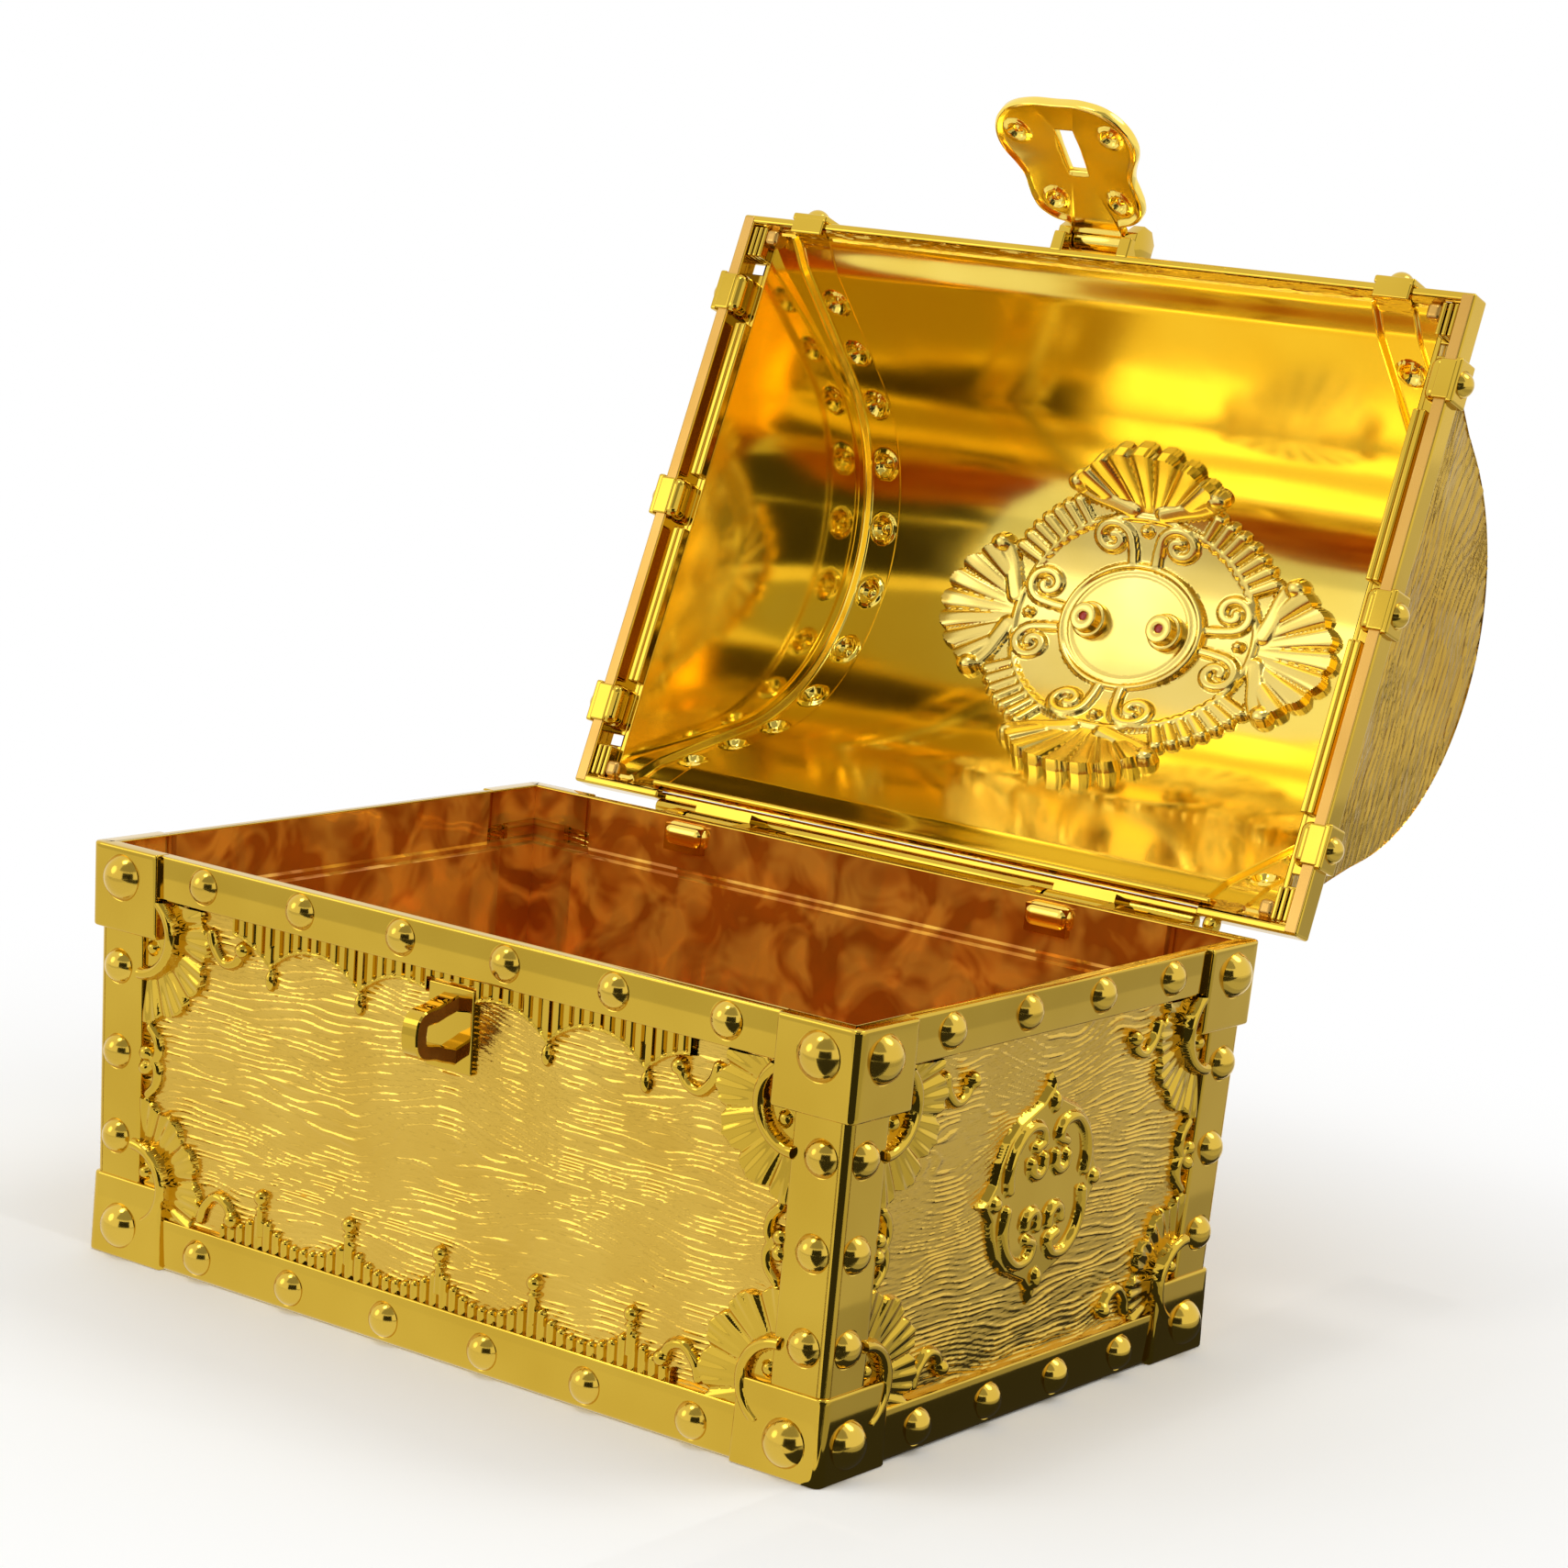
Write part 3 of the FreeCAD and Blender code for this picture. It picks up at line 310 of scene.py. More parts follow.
def bar_along_x(outline: Sequence[Sequence[float]], x_low: float, x_high: float,
                bevel: float = 0.25) -> Surface:
    """Prism along X over a closed (y, z) outline, with bevelled ends that close to its middle."""
    path = np.asarray(outline, float)
    middle = path.mean(axis=0)
    span = np.linalg.norm(path - middle, axis=1).mean()
    along, deep = quarter(bevel, 2)
    rows = [(x_low, 1.0)] + [(x_low + a, d / span) for a, d in zip(along, deep)]
    rows += [(x_high - a, d / span) for a, d in zip(along[::-1], deep[::-1])] + [(x_high, 1.0)]
    grid = np.stack([np.column_stack([np.full(len(path), x), middle + (path - middle) * (1 - shrink)])
                     for x, shrink in rows])
    return outward(sheet(grid, ring=True))


def outward(surface: Surface) -> Surface:
    """Turns a closed surface so that the volume it holds is positive, which makes it look outwards."""
    a, b, c, d = (surface.points[surface.quads[:, k]] for k in range(4))
    volume = np.einsum("ij,ij->i", a, np.cross(b, c)).sum() + np.einsum("ij,ij->i", a, np.cross(c, d)).sum()
    return surface if volume >= 0 else surface.turned_over()


class SmoothField:
    """Smooth random heights from -1 to 1: a seeded lattice blended with the curve 6t^5 - 15t^4 + 10t^3."""

    SIZE = 256

    def __init__(self, seed: int) -> None:
        """Fills the lattice from a seed."""
        self.table = np.random.default_rng(seed).uniform(-1, 1, (self.SIZE, self.SIZE))

    def __call__(self, u: Array, v: Array) -> Array:
        """Height at each pair of coordinates, in lattice steps."""
        i, j = np.floor(u).astype(int), np.floor(v).astype(int)
        s, t = u - i, v - j
        s, t = (w ** 3 * (w * (6 * w - 15) + 10) for w in (s, t))
        corner = [[self.table[(i + a) % self.SIZE, (j + b) % self.SIZE] for b in (0, 1)] for a in (0, 1)]
        low = corner[0][0] * (1 - s) + corner[1][0] * s
        high = corner[0][1] * (1 - s) + corner[1][1] * s
        return low * (1 - t) + high * t


@dataclass(frozen=True)
class WoodGrain:
    """Moulded wood grain: thin broken ridges just under 1 mm apart, bent into long points by a slow field."""

    seed: int
    height: float = 0.2
    pitch: float = 0.92
    slow_bend: float = 4.6
    slow_mm: tuple = (24.0, 13.0)
    quick_bend: float = 1.1
    quick_mm: tuple = (8.0, 3.4)
    break_mm: float = 4.4
    break_lines: float = 0.9
    fine_mm: tuple = (1.9, 0.38)
    fine_share: float = 0.15

    def heights(self, u: Array, v: Array) -> Array:
        """Heights of the grain.

        Each ridge is the top of a triangle wave over v, bent by two fields; a third field lowers stretches of
        it, and a fine field roughens the whole.

        Args:
            u: Millimetres along the grain.
            v: Millimetres across the grain.

        Returns:
            Heights in millimetres.
        """
        slow, quick, breaks = (SmoothField(self.seed + k) for k in range(3))
        bend = self.slow_bend * slow(u / self.slow_mm[0], v / self.slow_mm[1])
        bend = bend + self.quick_bend * quick(u / self.quick_mm[0], v / self.quick_mm[1])
        phase = v / self.pitch + bend
        line = 1.0 - np.abs(2.0 * (phase - np.floor(phase)) - 1.0)
        kept = smooth(-0.55, 0.1, breaks(u / self.break_mm, phase * self.break_lines))
        fine = quick(u / self.fine_mm[0] + 40.0, v / self.fine_mm[1])
        return self.height * (smooth(0.52, 0.96, line) * (0.3 + 0.7 * kept) + self.fine_share * fine)


# Finishes

def linear(hex_colour: str) -> tuple[float, float, float, float]:
    """An sRGB hex colour as linear red, green, blue and 1."""
    parts = [int(hex_colour[k:k + 2], 16) / 255 for k in (1, 3, 5)]
    return tuple(p / 12.92 if p <= 0.04045 else ((p + 0.055) / 1.055) ** 2.4 for p in parts) + (1.0,)


def add_node(tree: bpy.types.NodeTree, kind: str, sockets: dict | None = None, **settings) -> bpy.types.Node:
    """Adds a node with its settings, and sets or links its inputs.

    Args:
        tree: The node tree.
        kind: Blender's name of the node type, after its common beginning.
        sockets: Input name or number to a value, or to an output to link from.
        settings: Attributes of the node.

    Returns:
        The new node.
    """
    node = tree.nodes.new("ShaderNode" + kind)
    for name, value in settings.items():
        setattr(node, name, value)
    for name, value in (sockets or {}).items():
        if isinstance(value, bpy.types.NodeSocket):
            tree.links.new(value, node.inputs[name])
        else:
            node.inputs[name].default_value = value
    return node


@dataclass(frozen=True)
class Finish:
    """A finish in two close colours; its material is made at its first use."""

    name: str
    colour: str
    deep_colour: str
    roughness: float

    def material(self) -> bpy.types.Material:
        """The finish as a node material.

        Returns:
            The material, which all pieces in this finish share.
        """
        known = bpy.data.materials.get(self.name)
        if known:
            return known
        made = bpy.data.materials.new(self.name)
        made.use_nodes = True
        self.wire(made.node_tree, made.node_tree.nodes["Principled BSDF"])
        return made

    def wire(self, tree: bpy.types.NodeTree, shader: bpy.types.Node) -> None:
        """Adds the nodes of one kind of finish."""
        raise NotImplementedError

    def shade(self, tree: bpy.types.NodeTree, shader: bpy.types.Node, drift: bpy.types.NodeSocket,
              edge: float, gloss: dict) -> None:
        """Lets a drifting field mix the two colours and move the gloss.

        Args:
            tree: The material's node tree.
            shader: The shader to link to.
            drift: The field, about 0 to 1.
            edge: Distance of each pure colour from the field's middle.
            gloss: Sockets of the node that maps the field to a roughness.
        """
        ramp = add_node(tree, "ValToRGB", {"Fac": drift})
        for element, side, colour in zip(ramp.color_ramp.elements, SIGNS, (self.colour, self.deep_colour)):
            element.position, element.color = 0.5 + side * edge, linear(colour)
        tree.links.new(ramp.outputs["Color"], shader.inputs["Base Color"])
        rough = add_node(tree, "MapRange", {"Value": drift, "To Min": self.roughness} | gloss)
        tree.links.new(rough.outputs["Result"], shader.inputs["Roughness"])


@dataclass(frozen=True)
class GiltFinish(Finish):
    """Vacuum-metallised ABS: a mirror of aluminium under tinted lacquer, so the eye sees a yellow mirror.

    The lacquer's depth wanders a little (two close colours), its gloss too, and the moulding under it is
    never quite flat, which makes reflections swim. Streaks are a second bump, stretched along the grain.
    On the tub's lining the two colours lie far apart and swirl over less metal, as painted reflections and
    shade.
    """

    roughness_spread: float
    wave_mm: float
    wave_depth_mm: float
    # Size, twist and spread of the field that mixes the two colours; on the tub's lining it paints
    # reflections
    tint_and_reflection_mm: float = 18.0
    tint_and_reflection_twist: float = 0.0
    tint_and_reflection_edge: float = 0.2
    streak_mm: tuple | None = None
    streak_depth_mm: float = 0.0
    streak_turn: float = 0.0
    metallic: float = 1.0

    def wire(self, tree: bpy.types.NodeTree, shader: bpy.types.Node) -> None:
        """Adds the drifting tint and gloss (on the tub's lining, painted reflections), the waves and any
        streaks.
        """
        shader.inputs["Metallic"].default_value = self.metallic
        place = add_node(tree, "TexCoord").outputs["Object"]
        drift = add_node(tree, "TexNoise", {"Vector": place, "Scale": 1 / (self.tint_and_reflection_mm * MM), "Detail": 2.0,
                                            "Distortion": self.tint_and_reflection_twist})
        self.shade(tree, shader, drift.outputs["Fac"], self.tint_and_reflection_edge,
                   {"From Min": 0.3, "From Max": 0.7, "To Max": self.roughness + self.roughness_spread})
        wave = add_node(tree, "TexNoise", {"Vector": place, "Scale": 1 / (self.wave_mm * MM), "Detail": 1.0})
        bump = add_node(tree, "Bump", {"Strength": 1.0, "Distance": self.wave_depth_mm * MM,
                                       "Height": wave.outputs["Fac"]})
        if self.streak_mm:
            laid = add_node(tree, "Mapping", {"Vector": place, "Rotation": (self.streak_turn, 0.0, 0.0),
                                              "Scale": tuple(size * MM for size in self.streak_mm)},
                            vector_type="TEXTURE")
            streak = add_node(tree, "TexNoise", {"Vector": laid.outputs["Vector"], "Scale": 1.0,
                                                 "Detail": 2.0, "Distortion": 0.3})
            bump = add_node(tree, "Bump", {"Strength": 1.0, "Distance": self.streak_depth_mm * MM,
                                           "Height": streak.outputs["Fac"], "Normal": bump.outputs["Normal"]})
        tree.links.new(bump.outputs["Normal"], shader.inputs["Normal"])


@dataclass(frozen=True)
class PlasticFinish(Finish):
    """Bare moulded plastic where no plating shows: lets some light in, with a soft moulded gloss."""

    clear: float
    ior: float = 1.49
    cloud_mm: float = 6.0
    cloud_edge: float = 0.15
    roughness_spread: float = 0.08

    def wire(self, tree: bpy.types.NodeTree, shader: bpy.types.Node) -> None:
        """Adds the clouding in the plastic and its transmission."""
        shader.inputs["Transmission Weight"].default_value = self.clear
        shader.inputs["IOR"].default_value = self.ior
        place = add_node(tree, "TexCoord").outputs["Object"]
        cloud = add_node(tree, "TexNoise", {"Vector": place, "Scale": 1 / (self.cloud_mm * MM),
                                            "Detail": 3.0})
        self.shade(tree, shader, cloud.outputs["Fac"], self.cloud_edge,
                   {"To Max": self.roughness + self.roughness_spread})


# Polished mouldings: bands, caps and posts mirror the studio sharply
BRIGHT_GILT = GiltFinish("gilt_abs_polished", "#DAB540", "#D1AB38", 0.05, 0.03, 9.0, 0.012)
# Stud heads, tumbled before plating, so what they mirror has soft edges
STUD_GILT = GiltFinish("gilt_abs_stud_heads", "#E0BC4C", "#D6B042", 0.12, 0.04, 5.0, 0.01)
# Wood-grained panels: the same plating over a finely etched mould, so streaks glint on a satin field
GRAINED_GILT = GiltFinish("gilt_abs_wood_grained", "#E3BC52", "#D9B046", 0.12, 0.06, 6.0, 0.02,
                          streak_mm=(4.0, 4.0, 0.6), streak_depth_mm=0.1)
# The same grain on the lid's barrel, where the streaks lie along X
BARREL_GILT = GiltFinish("gilt_abs_barrel_grained", "#E3BC52", "#D9B046", 0.12, 0.06, 6.0, 0.02,
                         streak_mm=(4.0, 0.6, 0.6), streak_depth_mm=0.1)
# The lid's ends: deeper streaks along the foot of the D, turned with the open lid, on a darker gold: painted
# shade
END_GILT = GiltFinish("gilt_abs_end_grained", "#C9A54A", "#BE983F", 0.15, 0.06, 6.0, 0.02,
                      streak_mm=(7.0, 7.0, 1.0), streak_depth_mm=0.3, streak_turn=math.radians(-110.0))
# Lid lining: polished but with sink marks, so reflections run in broad wavering bands; paler gold: painted
# light
LINING_GILT = GiltFinish("gilt_abs_lining", "#FDE06C", "#FAD85E", 0.09, 0.06, 16.0, 0.07)
# Inside of the tub: a rippled mould under swirls of amber to dark brown on less metal, painted reflections
# and shade
TUB_LINING_GILT = GiltFinish("gilt_abs_tub_lining", "#FFC244", "#C4741A", 0.05, 0.05, 8.0, 0.24,
                             tint_and_reflection_mm=11.0, tint_and_reflection_twist=1.0, tint_and_reflection_edge=0.1, metallic=0.62)
# Crest inside the lid: a satin gloss, which softens the relief, on a pale gold that is a painted highlight
CREST_GILT = GiltFinish("gilt_abs_crest_satin", "#F0D478", "#E8CA66", 0.17, 0.05, 8.0, 0.015)
# Cut edges with thin plating: duller, towards tan
CUT_EDGE_GILT = GiltFinish("gilt_abs_cut_edge", "#D2A556", "#C59748", 0.24, 0.08, 6.0, 0.01)
# Sides of the staple's strip: unplated amber plastic, dark beside the gold
AMBER_PLASTIC = PlasticFinish("amber_plastic_bare", "#8A4E12", "#6B3A0C", 0.16, 0.25)
# Peg of the jewel, seen end on in the posts' holes: a red point, too small to look through
RED_PEG = PlasticFinish("red_acrylic_peg", "#B8341C", "#A82814", 0.2, 0.05)
# Jewel: clear red acrylic with polished facets
RED_ACRYLIC = PlasticFinish("red_acrylic_polished", "#B00E1C", "#98081A", 0.03, 0.75)


# Pieces

Dressed = Sequence[tuple[Surface, Finish]]


class Body(Enum):
    """Moving bodies of the CAD model."""

    BASE = "base"
    LID = "lid"
    HASP = "hasp"


def linked(name: str, data: bpy.types.ID) -> bpy.types.Object:
    """A new object of some data, put into the scene."""
    made = bpy.data.objects.new(name, data)
    bpy.context.scene.collection.objects.link(made)
    return made


def mesh_of(name: str, points: Array, faces: list, materials: Sequence[bpy.types.Material]) -> bpy.types.Mesh:
    """A mesh from points in millimetres, with its materials."""
    mesh = bpy.data.meshes.new(name)
    mesh.from_pydata((points * MM).tolist(), [], faces)
    for material in materials:
        mesh.materials.append(material)
    return mesh


def add_piece(name: str, parts: Dressed, body: Body, node: str, sharp_degrees: float = 40.0) -> None:
    """Makes one object of some dressed surfaces, which rides on a body and stands for a CAD node.

    Args:
        name: Name of the piece.
        parts: Surfaces with their finishes.
        body: The body that it moves with.
        node: The CAD node that it replaces, alone or with other pieces.
        sharp_degrees: Edges sharper than this stay crisp.
    """
    points, faces, shades, finishes = [], [], [], []
    start = 0
    for surface, finish in parts:
        some_points, some_faces = welded(surface)
        if finish not in finishes:
            finishes.append(finish)
        shades += [finishes.index(finish)] * len(some_faces)
        faces += [[i + start for i in face] for face in some_faces]
        points.append(some_points)
        start += len(some_points)
    mesh = mesh_of(name, np.vstack(points), faces, [finish.material() for finish in finishes])
    mesh.polygons.foreach_set("material_index", np.asarray(shades, np.int32))
    mesh.shade_smooth()
    mesh.set_sharp_from_angle(angle=math.radians(sharp_degrees))
    mesh.update()
    piece = linked(name, mesh)
    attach(piece, body.value)
    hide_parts(node)
    log.info("%s: %d triangles on %s", name, sum(len(face) - 2 for face in faces), body.value)


def dress_node(node: str, finish: Finish) -> None:
    """Gives a CAD node that stays visible a finish."""
    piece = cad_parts[node]
    piece.data.materials.clear()
    piece.data.materials.append(finish.material())
    log.info("%s: CAD node, dressed", node)


# The tub

class Side(Enum):
    """Sides of the tub: the direction along it, seen from outside left to right, and outwards."""

    FRONT = ((1, 0, 0), (0, -1, 0))
    RIGHT = ((0, 1, 0), (1, 0, 0))
    BACK = ((-1, 0, 0), (0, 1, 0))
    LEFT = ((0, -1, 0), (-1, 0, 0))

    @property
    def wide(self) -> bool:
        """Whether this is the front or the back."""
        return self in (Side.FRONT, Side.BACK)

    @property
    def run(self) -> Array:
        """Direction along the side."""
        return np.array(self.value[0], float)

    @property
    def out(self) -> Array:
        """Direction outwards."""
        return np.array(self.value[1], float)


@dataclass(frozen=True)
class Carcase:
    """Sizes of the tub that its pieces share, and the map from a side's own coordinates to the frame."""

    width: float = 150.0
    depth: float = 107.5
    height: float = 66.5
    slope: float = 0.02653
    trim_inset: float = 1.0
    panel_inset: float = 2.3
    rim_inset: float = 3.0
    inner_inset: float = 4.1
    floor: float = 2.2
    band_low: float = 59.3
    foot_band: float = 8.3
    post_reach: float = 10.6
    upper_cap_low: float = 53.0
    upper_cap_reach: float = 14.3
    lower_cap_high: float = 13.0
    lower_cap_reach: float = 16.1
    hinge_x: float = 37.5

    def half_out(self, side: Side, z: Array | float) -> Array | float:
        """Distance of the cap plane from the middle, on a side, at a height."""
        return (self.depth if side.wide else self.width) / 2 - (self.height - z) * self.slope

    def half_along(self, side: Side, z: Array | float) -> Array | float:
        """Half length of a side at a height."""
        return (self.width if side.wide else self.depth) / 2 - (self.height - z) * self.slope

    def panel_half(self, side: Side) -> float:
        """Half length of a panel between the posts, at the rim."""
        return self.half_along(side, self.height) - self.post_reach

    def on_side(self, side: Side, along: Array, z: Array, proud: Array) -> Array:
        """Points of a side from the distance along it, the height and how far it stands out of the cap plane.

        Args:
            side: Which side.
            along: Millimetres from the side's middle, to the right as seen from outside.
            z: Heights.
            proud: Millimetres outwards of the cap plane.

        Returns:
            Points in the frame.
        """
        along, z, proud = np.broadcast_arrays(*(np.asarray(given, float) for given in (along, z, proud)))
        out = self.half_out(side, z) + proud
        return along[..., None] * side.run + out[..., None] * side.out + z[..., None] * np.array(UP)

    def relief(self, side: Side, along: Array, z: Array, height: Array) -> Surface:
        """A relief on a side's panel, without the cells that lie at its sunk level."""
        grid = self.on_side(side, along, z, height - self.panel_inset)
        return sheet(grid, keep=shown(height)).facing(side.out)

    def ring(self, profile: Sequence[tuple[float, float]]) -> Surface:
        """A profile of (height, proud) carried round the tub's four corners."""
        z, proud = np.asarray(profile, float).T
        half_x, half_y = self.half_along(Side.FRONT, z) + proud, self.half_out(Side.FRONT, z) + proud
        corners = [(-1, -1), (1, -1), (1, 1), (-1, 1)]
        grid = np.stack([np.column_stack([sx * half_x, sy * half_y, z]) for sx, sy in corners], axis=1)
        return sheet(grid, ring=True)


@dataclass
class Tub:
    """Grained panels, lining and underside of the tub."""

    carcase: Carcase
    grain_step: float = 0.16
    grain_run: float = 0.62
    grain_seed: int = 11
    seed_step: int = 7
    post_lap: float = 1.0
    band_lap: float = 0.8
    rim_corner: float = 0.25
    recess: float = 0.8
    recess_upper: float = 13.4
    recess_lower: float = 9.8
    recess_edge: float = 0.35
    ledge: tuple = ((57.6, 0.0), (57.2, 0.5), (56.5, 0.5))
    wall: tuple = ((56.1, 0.0), (55.6, 0.0), (5.0, 0.0), (3.4, 0.3), (2.5, 1.0))
    cove: float = 2.4
    floor_edge: float = 3.0
    sole: float = 0.2
    sole_inset: float = 2.6

    def panel(self, side: Side, seed: int) -> Surface:
        """One grained panel: a flat grid pushed outwards by the grain, which runs along the side."""
        c = self.carcase
        half = c.panel_half(side) + self.post_lap
        low, high = c.foot_band - self.band_lap, c.band_low + self.band_lap
        along, z = np.meshgrid(spaced(half, self.grain_run),
                               np.arange(low, high + self.grain_step, self.grain_step))
        return sheet(c.on_side(side, along, z, WoodGrain(seed).heights(along, z) - c.panel_inset))

    def lining(self) -> tuple[Surface, Surface]:
        """Rim and inside of the tub: a profile from the rim over two fine steps and down to the floor.

        Behind caps and posts the wall is recessed, so near each corner a column steps outwards. Each row has
        a height, a depth behind the cap plane, and the recess's reach from the corner and depth.

        Returns:
            The lining down to the floor, and the rim's top edge.
        """
        c, rim, inner = self.carcase, self.carcase.rim_inset, self.carcase.inner_inset
        edge_z = c.height - self.rim_corner
        upper, lower, flat = (self.recess_upper, self.recess), (self.recess_lower, self.recess), (0.0, 0.0)
        rows = [(edge_z, rim, (self.recess_upper, 0.0)), (edge_z, rim, upper)]
        rows += [(z, rim + more, upper) for z, more in self.ledge]
        rows += [(z, inner + more, lower) for z, more in self.wall]
        rows += [(c.floor, inner + self.cove, lower), (c.floor, inner + self.floor_edge, flat),
                 (c.floor, c.half_out(Side.FRONT, c.floor), flat)]
        stations = ((True, 0.0, 1), (False, -self.recess_edge, 1), (False, 0.0, 0))
        columns = []
        for side in Side:
            for end, order in ((-1, stations), (1, stations[::-1])):
                for at_corner, gap, share in order:
                    points = []
                    for z, inset, (reach, depth) in rows:
                        from_corner = 0.0 if at_corner else max(reach + gap, 0.0)
                        along = end * (c.half_along(side, z) - (inset - depth) - from_corner)
                        points.append(c.on_side(side, along, z, -(inset - depth * share)))
                    columns.append(np.array(points))
        along, deep = quarter(self.rim_corner)
        edge = [(c.height - 3 * LAP_MM, -c.panel_inset + 0.1)]
        edge += [(c.height - d, -rim + a) for a, d in zip(along[::-1], deep[::-1])]
        return sheet(np.stack(columns, axis=1), ring=True), c.ring(edge)

    def noses(self) -> Surface:
        """Rounded noses over the hinge bosses, which show inside the back wall."""
        return joined([rounded_box((x - 4.6, 48.7, 61.2), (x + 4.6, 53.0, 65.8), 2.1, 6)
                       for x in (-self.carcase.hinge_x, self.carcase.hinge_x)])

    def underside(self) -> Surface:
        """Underside, a little above the foot band's lower edge, closed to the middle line."""
        half = self.carcase.half_out(Side.FRONT, 0.0)
        return self.carcase.ring([(self.sole, -half), (self.sole, -half + 6.0), (self.sole, -self.sole_inset),
                                  (9.5, -self.sole_inset)])

    def build(self) -> None:
        """Makes the panels and the lining."""
        for k, side in enumerate(Side):
            panel = self.panel(side, self.grain_seed + self.seed_step * k)
            add_piece(f"tub_{side.name.lower()}_panel", [(panel, GRAINED_GILT)], Body.BASE, "base_tub", 60.0)
        lining, edge = self.lining()
        add_piece("tub_lining", [(lining, TUB_LINING_GILT), (edge, BRIGHT_GILT), (self.noses(), LINING_GILT),
                                 (self.underside(), BRIGHT_GILT)], Body.BASE, "base_tub", 30.0)


@dataclass(frozen=True)
class Angle:
    """Sizes of an angle piece round a corner.

    Its reach along each wall, its depths behind the cap plane at foot and top, its lowest and highest height,
    the radius of its upright edge and the depth at which it ends inside.
    """

    reach: float
    insets: tuple[float, float]
    span: tuple[float, float]
    radius: float
    inner: float


@dataclass
class Trim:
    """Bands, corner posts and corner caps of the tub."""

    carcase: Carcase
    edge: float = 0.4
    edge_hold: float = 0.9
    foot_edge: float = 1.0
    post_round: float = 1.5
    post_inner: float = 1.6
    post_lap: float = 1.0
    cap_round: float = 1.4
    cap_inner: float = 2.6
    round_hold: float = 0.8
    lower_cap_insets: tuple = (0.15, 0.6)

    def band(self, low: float, high: float, low_edge: float) -> Surface:
        """A band with rounded edges, sunk into the panel at both ends of its profile."""
        c = self.carcase
        a_low, d_low = quarter(low_edge, 4)
        a_high, d_high = quarter(self.edge)
        profile = [(low, -c.rim_inset)] + [(low + a, -c.trim_inset - d) for a, d in zip(a_low, d_low)]
        profile += [(high - a, -c.trim_inset - d) for a, d in zip(a_high[::-1], d_high[::-1])]
        return c.ring(profile + [(high, -c.panel_inset - 0.1)])

    def corner(self, sx: int, sy: int, angle: Angle) -> Surface:
        """An angle piece round one corner: a path along both walls and a rounded edge, stacked in height.

        Args:
            sx: Sign of X.
            sy: Sign of Y.
            angle: Its sizes.

        Returns:
            The outer face with rounded edges.
        """
        c, reach, radius, inner, hold = self.carcase, angle.reach, angle.radius, angle.inner, self.edge_hold
        along, deep = quarter(self.edge)
        z_low, z_high = angle.span
        rows = [(z_low, inner)] + [(z_low + a, d) for a, d in zip(along, deep)] + [(z_low + hold, 0.0)]
        rows += [(z_high - hold, 0.0)] + [(z_high - a, d) for a, d in zip(along[::-1], deep[::-1])]
        z, row_deep = np.array(rows + [(z_high, inner)]).T
        inset = np.interp(z, angle.span, angle.insets)
        run = [(reach, inner)] + [(reach - a, d) for a, d in zip(along, deep)]
        run += [(reach - hold, 0.0), (radius + self.round_hold, 0.0)]
        a_cols, b_cols = [], []
        for dist, d in run:
            a_cols.append(np.full_like(z, dist))
            b_cols.append(inset + np.maximum(row_deep, d) if d == inner else inset + row_deep + d)
        for turn in np.linspace(0, math.pi / 2, 7):
            for cols, share in ((a_cols, math.sin(turn)), (b_cols, math.cos(turn))):
                cols.append(inset + np.maximum(radius - (radius - row_deep) * share, row_deep))
        first, second = np.array(a_cols), np.array(b_cols)
        a = np.vstack([first, second[:len(run)][::-1]]).T
        b = np.vstack([second, first[:len(run)][::-1]]).T
        half_x, half_y = c.half_along(Side.FRONT, z), c.half_out(Side.FRONT, z)
        grid = np.stack([sx * (half_x[:, None] - a), sy * (half_y[:, None] - b),
                         np.broadcast_to(z[:, None], a.shape)], axis=-1)
        return sheet(grid).facing((sx, sy, 0))

    def build(self) -> None:
        """Makes bands, posts and caps."""
        c = self.carcase
        for name, low, high, edge in (("top_band", c.band_low, c.height - LAP_MM, self.edge),
                                      ("bottom_band", 0.0, c.foot_band, self.foot_edge)):
            add_piece(name + "_gilt", [(self.band(low, high, edge), BRIGHT_GILT)], Body.BASE, name)
        posts = Angle(c.post_reach, (c.trim_inset, c.trim_inset),
                      (c.foot_band - self.post_lap, c.band_low + self.post_lap),
                      self.post_round, self.post_inner)
        upper = Angle(c.upper_cap_reach, (0.0, 0.0), (c.upper_cap_low, c.height),
                      self.cap_round, self.cap_inner)
        lower = Angle(c.lower_cap_reach, self.lower_cap_insets, (0.0, c.lower_cap_high), self.cap_round,
                      self.cap_inner)
        for name, node, angle in (("corner_posts_gilt", "corner_posts", posts),
                                  ("upper_caps_gilt", "upper_corner_caps", upper),
                                  ("lower_caps_gilt", "lower_corner_caps", lower)):
            corners = [self.corner(sx, sy, angle) for sx in SIGNS for sy in SIGNS]
            add_piece(name, [(joined(corners), BRIGHT_GILT)], Body.BASE, node)


